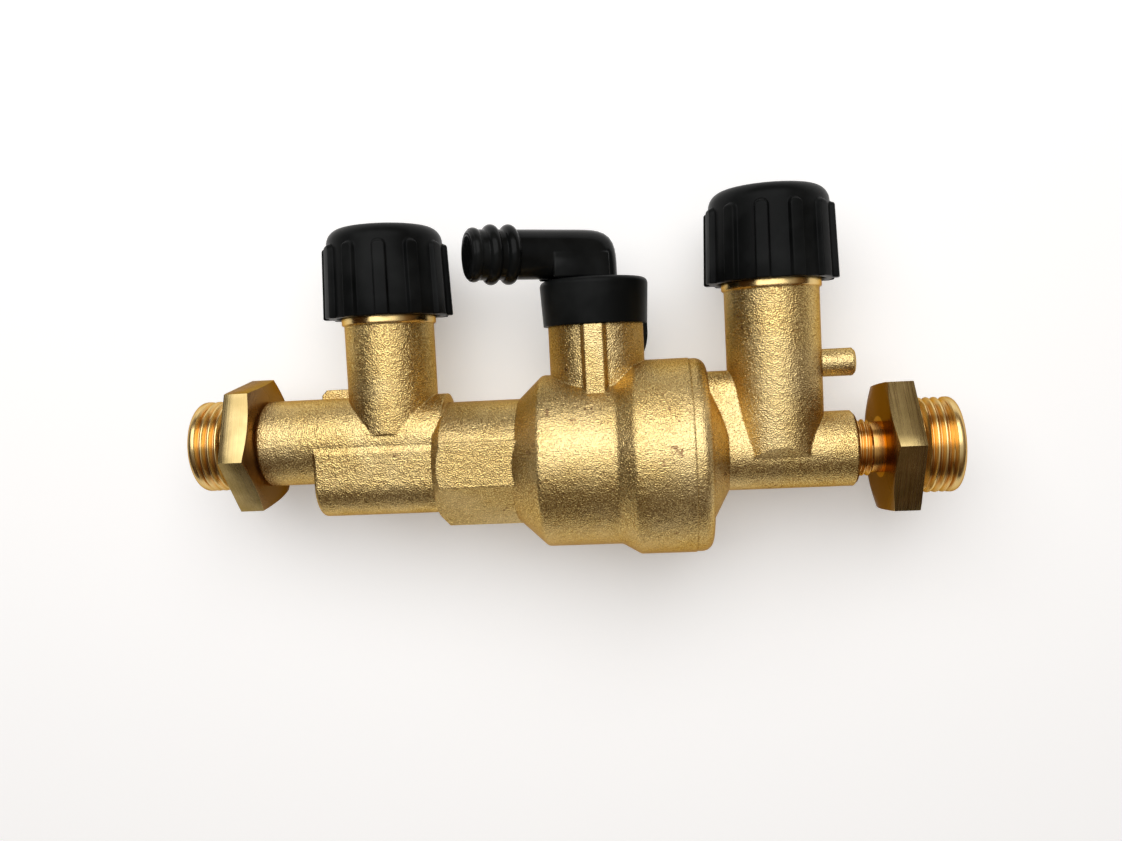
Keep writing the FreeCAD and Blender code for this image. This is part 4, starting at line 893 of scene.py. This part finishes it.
def nipple_brass_material(name, groups, height, towards):
    """Turned brass with painted light: orange painted reflection in thread roots and on the shank,
    bright brass on crests, painted dark reflection elsewhere and painted shade on the hexagon's
    shank side.

    The colours go by the distance from the axis, as a share of the spanner size.
    """
    colours = settings().colours
    threads = settings().threads
    sizes = settings().nipple
    material, tree, shader, vector = new_brass(name, 0.2)
    tool = place_group(tree, groups["lines"], vector, TOOL_SCALE)
    dirt = place_group(tree, groups["stains"], vector, 120.0)
    reach = sizes.across_flats
    share = math_node(tree, "DIVIDE", radius_from_axis(tree, vector, height), reach)
    crest = sizes.large_radius / reach
    root = (sizes.large_radius - threads.large_depth) / reach
    shank = (sizes.small_radius + 0.4 * MM) / reach
    groove, bright, dark_reflection = colours.painted_root_reflection, colours.turned_brass, colours.painted_dark_brass
    # Painted light by radius: orange painted reflection in thread roots and over the small thread,
    # plain brass on crests, painted dark reflection elsewhere
    base = ramp(tree, share, [
        (shank, groove), (shank + 0.01, dark_reflection), (root - 0.01, dark_reflection), (root + 0.004, groove),
        (crest - 0.003, bright), (crest + 0.004, bright), (crest + 0.01, dark_reflection)])
    patches = math_node(tree, "MULTIPLY", dirt.outputs["Patches"], 0.5)
    base = mix_colour(tree, patches, base, colours.pale_brass)
    # Painted shade: the hexagon's faces that look towards the small thread take the darker brass
    hexagon = math_node(tree, "GREATER_THAN", share, shank)
    shank_shade_mask = math_node(tree, "MULTIPLY", hexagon, faces_the_shank(tree, towards))
    base = mix_colour(tree, shank_shade_mask, base, colours.painted_shank_shade)
    tree.links.new(base, shader.inputs["Base Color"])
    lines = tool.outputs["Height"]
    tree.links.new(grey_ramp(tree, lines, 0.3, 0.22, 0.7, 0.32), shader.inputs["Roughness"])
    add_bump(tree, shader, lines, 0.012 * MM)
    return material


def turned_brass_material(groups):
    colours = settings().colours
    material, tree, shader, vector = new_brass("Turned brass", 0.2)
    lines = place_group(tree, groups["lines"], vector, TOOL_SCALE).outputs["Height"]
    patches = place_group(tree, groups["stains"], vector, 120.0).outputs["Patches"]
    base = mix_colour(tree, patches, colours.turned_brass, colours.pale_brass)
    tree.links.new(base, shader.inputs["Base Color"])
    tree.links.new(grey_ramp(tree, lines, 0.3, 0.16, 0.7, 0.28), shader.inputs["Roughness"])
    add_bump(tree, shader, lines, 0.01 * MM)
    return material


def plastic_material(name, groups, colour, clean_rough, stained_rough, bump_depth, gloss=0.5):
    material, tree, shader = new_material(name, PLASTIC, stained_rough)
    vector = object_coordinates(tree)
    shader.inputs["Specular IOR Level"].default_value = gloss
    patches = place_group(tree, groups["stains"], vector, 90.0).outputs["Patches"]
    lighter = tuple(min(1.0, channel * 1.8 + 0.004) for channel in colour[:3]) + (1.0,)
    tree.links.new(mix_colour(tree, patches, colour, lighter), shader.inputs["Base Color"])
    rough = grey_ramp(tree, patches, 0.0, clean_rough, 1.0, stained_rough)
    tree.links.new(rough, shader.inputs["Roughness"])
    fine = noise(tree, vector, 5000.0, 2.0)
    add_bump(tree, shader, fine, bump_depth, 1.0, rounded_edges(tree, 0.3 * MM))
    return material


def steel_material(name, groups):
    colours = settings().colours
    material, tree, shader = new_material(name, METAL, 0.3)
    dirt = place_group(tree, groups["stains"], object_coordinates(tree), 200.0)
    base = mix_colour(tree, dirt.outputs["Patches"], colours.steel, colours.dull_steel)
    tree.links.new(base, shader.inputs["Base Color"])
    return material


# Points and radii in millimetres of the stains on the castings, from the chamber to the octagon
OUTLET_SCUFFS = (
    ((-47.5, 2.0, 17.6), 3.2),
    ((-49.5, 0.5, 17.6), 2.4),
    ((-71.5, 2.5, 13.5), 2.2),
    ((-70.5, -4.0, 13.5), 1.8),
    ((-69.0, 9.0, 12.0), 2.4),
)
INLET_SCUFFS = (
    ((-38.0, -6.0, 15.0), 1.8),
)
# Heights of the machined rims on top of the tap towers
INLET_RIM = 2.3 * MM
OUTLET_RIM = 2.7 * MM


def make_materials():
    """All finishes, by the slot of the record or the node that they are for."""
    colours = settings().colours
    groups = {
        "grain": grain_group(), "stains": stain_group(), "lines": tool_lines_group(),
        "scuff": scuff_group(),
    }
    inlet_top, outlet_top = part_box("inlet_body")[1].y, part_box("outlet_body")[1].y
    outlet_low, outlet_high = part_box("outlet_nipple")
    return {
        "cast_brass": cast_brass_material(
            "Cast brass, inlet", groups, inlet_top - INLET_RIM, INLET_SCUFFS),
        "outlet_cast_brass": cast_brass_material(
            "Cast brass, outlet", groups, outlet_top - OUTLET_RIM, OUTLET_SCUFFS),
        "turned_brass": turned_brass_material(groups),
        "inlet_nipple": nipple_brass_material(
            "Turned brass, inlet nipple", groups, 0.0, -1.0),
        "outlet_nipple": nipple_brass_material(
            "Turned brass, outlet nipple", groups, (outlet_low.y + outlet_high.y) / 2, 1.0),
        "black_plastic": plastic_material(
            "Satin black", groups, colours.black_plastic, 0.34, 0.44, 0.01 * MM, 0.06),
        "gloss_black_plastic": plastic_material(
            "Glossy black", groups, colours.black_plastic, 0.14, 0.22, 0.004 * MM, 0.08),
        "inner_plastic": plastic_material(
            "White acetal", groups, colours.white_plastic, 0.35, 0.5, 0.004 * MM),
        "seal_rubber": plastic_material(
            "Seal rubber", groups, colours.rubber, 0.5, 0.65, 0.01 * MM),
        "spring_steel": steel_material("Spring steel", groups),
        "strainer_steel": steel_material("Strainer steel", groups),
    }


MATERIALS = {}


def material_for(slot):
    if not MATERIALS:
        MATERIALS.update(make_materials())
    return MATERIALS[slot]


class VALVE_OT_finishes(bpy.types.Operator):
    """Give every CAD node the finish of its slot"""

    bl_idname = "valve.finishes"
    bl_label = "Finish the pieces"

    def execute(self, context):
        pieces = frame["nodes"]
        for part in frame["record"]["subparts"]:
            dress(pieces[part["node"]], material_for(part["material_slot"]))
        dress(pieces["outlet_body"], material_for("outlet_cast_brass"))
        return {"FINISHED"}


class VALVE_OT_nipples(bpy.types.Operator):
    """Model the two threaded hexagon nipples"""

    bl_idname = "valve.nipples"
    bl_label = "Thread the nipples"

    def execute(self, context):
        sizes = settings().nipple
        build_nipple("inlet_nipple", 1, sizes.inlet_turn)
        build_nipple("outlet_nipple", -1, sizes.outlet_turn)
        return {"FINISHED"}


class VALVE_OT_knobs(bpy.types.Operator):
    """Model the two ribbed hand knobs"""

    bl_idname = "valve.knobs"
    bl_label = "Mould the knobs"

    def execute(self, context):
        sizes = settings().knob
        build_knob("outlet_knob", "outlet_handle", sizes.outlet_turn)
        build_knob("inlet_knob", "inlet_handle", sizes.inlet_turn)
        return {"FINISHED"}


class VALVE_OT_elbow(bpy.types.Operator):
    """Model the drain elbow with its hose end"""

    bl_idname = "valve.elbow"
    bl_label = "Mould the elbow"

    def execute(self, context):
        build_elbow()
        return {"FINISHED"}


# Where the key lamp stands from the point that the camera looks at, and its width and height
LAMP_OFFSET = Vector((-0.03, 0.24, 0.42))
LAMP_SIZE = (0.70, 0.46)
# Half the width of the square floor, in metres
FLOOR_REACH = 1.5
# Heights on the unit sphere at which the world has the colours of horizon, middle and zenith
WORLD_HEIGHTS = (0.12, 0.55, 0.88)
# The world is tilted towards the camera's side, and darkens towards the left between two shares
WORLD_TILT = math.radians(15.0)
WORLD_LEFT = (0.16, 0.42)
# Up to this height over the floor's edge, mirrored rays see the pale background
MIRRORED_UP_TO = 0.06


def add_key_lamp(centre, power):
    light = bpy.data.lights.new("Key", "AREA")
    light.shape = "RECTANGLE"
    light.size, light.size_y = LAMP_SIZE
    light.energy = power
    lamp = bpy.data.objects.new("Key", light)
    bpy.context.collection.objects.link(lamp)
    aim = (-LAMP_OFFSET).to_track_quat("-Z", "Y").to_matrix().to_4x4()
    lamp.matrix_world = Matrix.Translation(centre + LAMP_OFFSET) @ aim


def add_camera(studio):
    camera = bpy.data.objects.new("Camera", bpy.data.cameras.new("Camera"))
    bpy.context.collection.objects.link(camera)
    camera.data.sensor_width = 36.0
    camera.data.lens = studio.lens
    camera.data.clip_start = 0.01
    turned = Euler(studio.turn, "XYZ").to_matrix().inverted().to_4x4()
    back_off = Matrix.Translation((0.0, 0.0, studio.distance))
    camera.matrix_world = Matrix.Translation(studio.target) @ turned @ back_off
    bpy.context.scene.camera = camera


def sees_background(tree, kinds):
    """A mask that is 1 for the rays that look at the background."""
    path = tree.nodes.new("ShaderNodeLightPath")
    mask = path.outputs[kinds[0]]
    for kind in kinds[1:]:
        mask = math_node(tree, "MAXIMUM", mask, path.outputs[kind])
    return mask


def add_floor(colour, lift):
    """Pale floor under the valve. What looks at it as background sees it lifted to white."""
    low, high = CAD_BOUNDS[0], CAD_BOUNDS[1]
    bm = bmesh.new()
    bmesh.ops.create_grid(bm, x_segments=1, y_segments=1, size=FLOOR_REACH)
    bmesh.ops.translate(
        bm, verts=bm.verts, vec=((low[0] + high[0]) / 2, (low[1] + high[1]) / 2, low[2]))
    mesh = bpy.data.meshes.new("studio_floor")
    bm.to_mesh(mesh)
    bm.free()
    floor = bpy.data.objects.new("studio_floor", mesh)
    bpy.context.collection.objects.link(floor)
    material, tree, shader = new_material("Studio floor", PLASTIC, 0.8)
    shader.inputs["Base Color"].default_value = colour
    shader.inputs["Emission Color"].default_value = grey(1.0)
    mask = sees_background(tree, ("Is Camera Ray", "Is Glossy Ray", "Is Transmission Ray"))
    tree.links.new(
        math_node(tree, "MULTIPLY", mask, lift), shader.inputs["Emission Strength"])
    dress(floor, material)


def add_world(horizon, middle, zenith):
    """Soft light, dim and warm at the horizon, dimmer on the left and white above.

    Camera and transmission rays see plain white, and glossy rays see it low over the floor.
    """
    world = bpy.data.worlds.new("Studio")
    world.use_nodes = True
    bpy.context.scene.world = world
    tree = world.node_tree
    tilt = tree.nodes.new("ShaderNodeVectorRotate")
    tilt.rotation_type = "X_AXIS"
    tilt.inputs["Angle"].default_value = WORLD_TILT
    view = tree.nodes.new("ShaderNodeTexCoord").outputs["Generated"]
    tree.links.new(view, tilt.inputs["Vector"])
    direction = split_vector(tree, tilt.outputs["Vector"])
    dome = ramp(tree, direction["Z"], list(zip(WORLD_HEIGHTS, (horizon, middle, zenith))))
    across = math_node(tree, "ADD", math_node(tree, "MULTIPLY", direction["X"], 0.5), 0.5)
    side = grey_ramp(tree, across, WORLD_LEFT[0], 0.0, WORLD_LEFT[1], 1.0)
    light = mix_colour(tree, side, horizon, dome)
    low = math_node(tree, "LESS_THAN", split_vector(tree, view)["Z"], MIRRORED_UP_TO)
    mirrored = math_node(tree, "MULTIPLY", low, sees_background(tree, ("Is Glossy Ray",)))
    seen = sees_background(tree, ("Is Camera Ray", "Is Transmission Ray"))
    mask = math_node(tree, "MAXIMUM", mirrored, seen)
    tree.links.new(
        mix_colour(tree, mask, light, grey(1.0)), tree.nodes["Background"].inputs["Color"])


class VALVE_OT_studio(bpy.types.Operator):
    """Set up the camera, the floor and the lights"""

    bl_idname = "valve.studio"
    bl_label = "Set up the studio"

    def execute(self, context):
        studio = settings().studio
        add_camera(studio)
        add_floor(studio.floor, studio.floor_lift)
        add_world(studio.horizon, studio.middle, studio.zenith)
        add_key_lamp(Vector(studio.target), studio.lamp_power)
        context.scene.view_settings.view_transform = "Standard"
        return {"FINISHED"}


class ValveSettings(bpy.types.PropertyGroup):
    """All sizes and colours of the valve's looks."""

    threads: bpy.props.PointerProperty(
        type=ThreadSizes, name="Threads", description="Thread sizes")
    nipple: bpy.props.PointerProperty(
        type=NippleSizes, name="Nipples", description="Nipple sizes")
    knob: bpy.props.PointerProperty(type=KnobSizes, name="Knobs", description="Knob sizes")
    elbow: bpy.props.PointerProperty(type=ElbowSizes, name="Elbow", description="Elbow sizes")
    colours: bpy.props.PointerProperty(
        type=FinishColours, name="Colours", description="Finish colours")
    studio: bpy.props.PointerProperty(
        type=StudioSettings, name="Studio", description="Camera, lights and floor")


class VALVE_PT_panel(bpy.types.Panel):
    """The valve's steps, in the order in which they run"""

    bl_idname = "VALVE_PT_panel"
    bl_label = "Filling valve"
    bl_space_type = "VIEW_3D"
    bl_region_type = "UI"
    bl_category = "Valve"

    def draw(self, context):
        for operator in OPERATORS:
            self.layout.operator(operator.bl_idname)
        valve = settings()
        for group in (valve.threads, valve.nipple, valve.knob, valve.elbow, valve.colours,
                      valve.studio):
            box = self.layout.box()
            for name in group.__annotations__:
                box.prop(group, name)


GROUPS = (
    ThreadSizes, NippleSizes, KnobSizes, ElbowSizes, FinishColours, StudioSettings, ValveSettings)
OPERATORS = (
    VALVE_OT_studio, VALVE_OT_finishes, VALVE_OT_nipples, VALVE_OT_knobs, VALVE_OT_elbow)


def register():
    for item in GROUPS + OPERATORS + (VALVE_PT_panel,):
        bpy.utils.register_class(item)
    bpy.types.Scene.valve = bpy.props.PointerProperty(
        type=ValveSettings, name="Valve", description="Sizes and colours of the filling valve")


def unregister():
    del bpy.types.Scene.valve
    for item in reversed(GROUPS + OPERATORS + (VALVE_PT_panel,)):
        bpy.utils.unregister_class(item)


def main():
    register()
    bpy.ops.valve.studio()
    bpy.ops.valve.finishes()
    bpy.ops.valve.nipples()
    bpy.ops.valve.knobs()
    bpy.ops.valve.elbow()


if __name__ == "__main__":
    main()
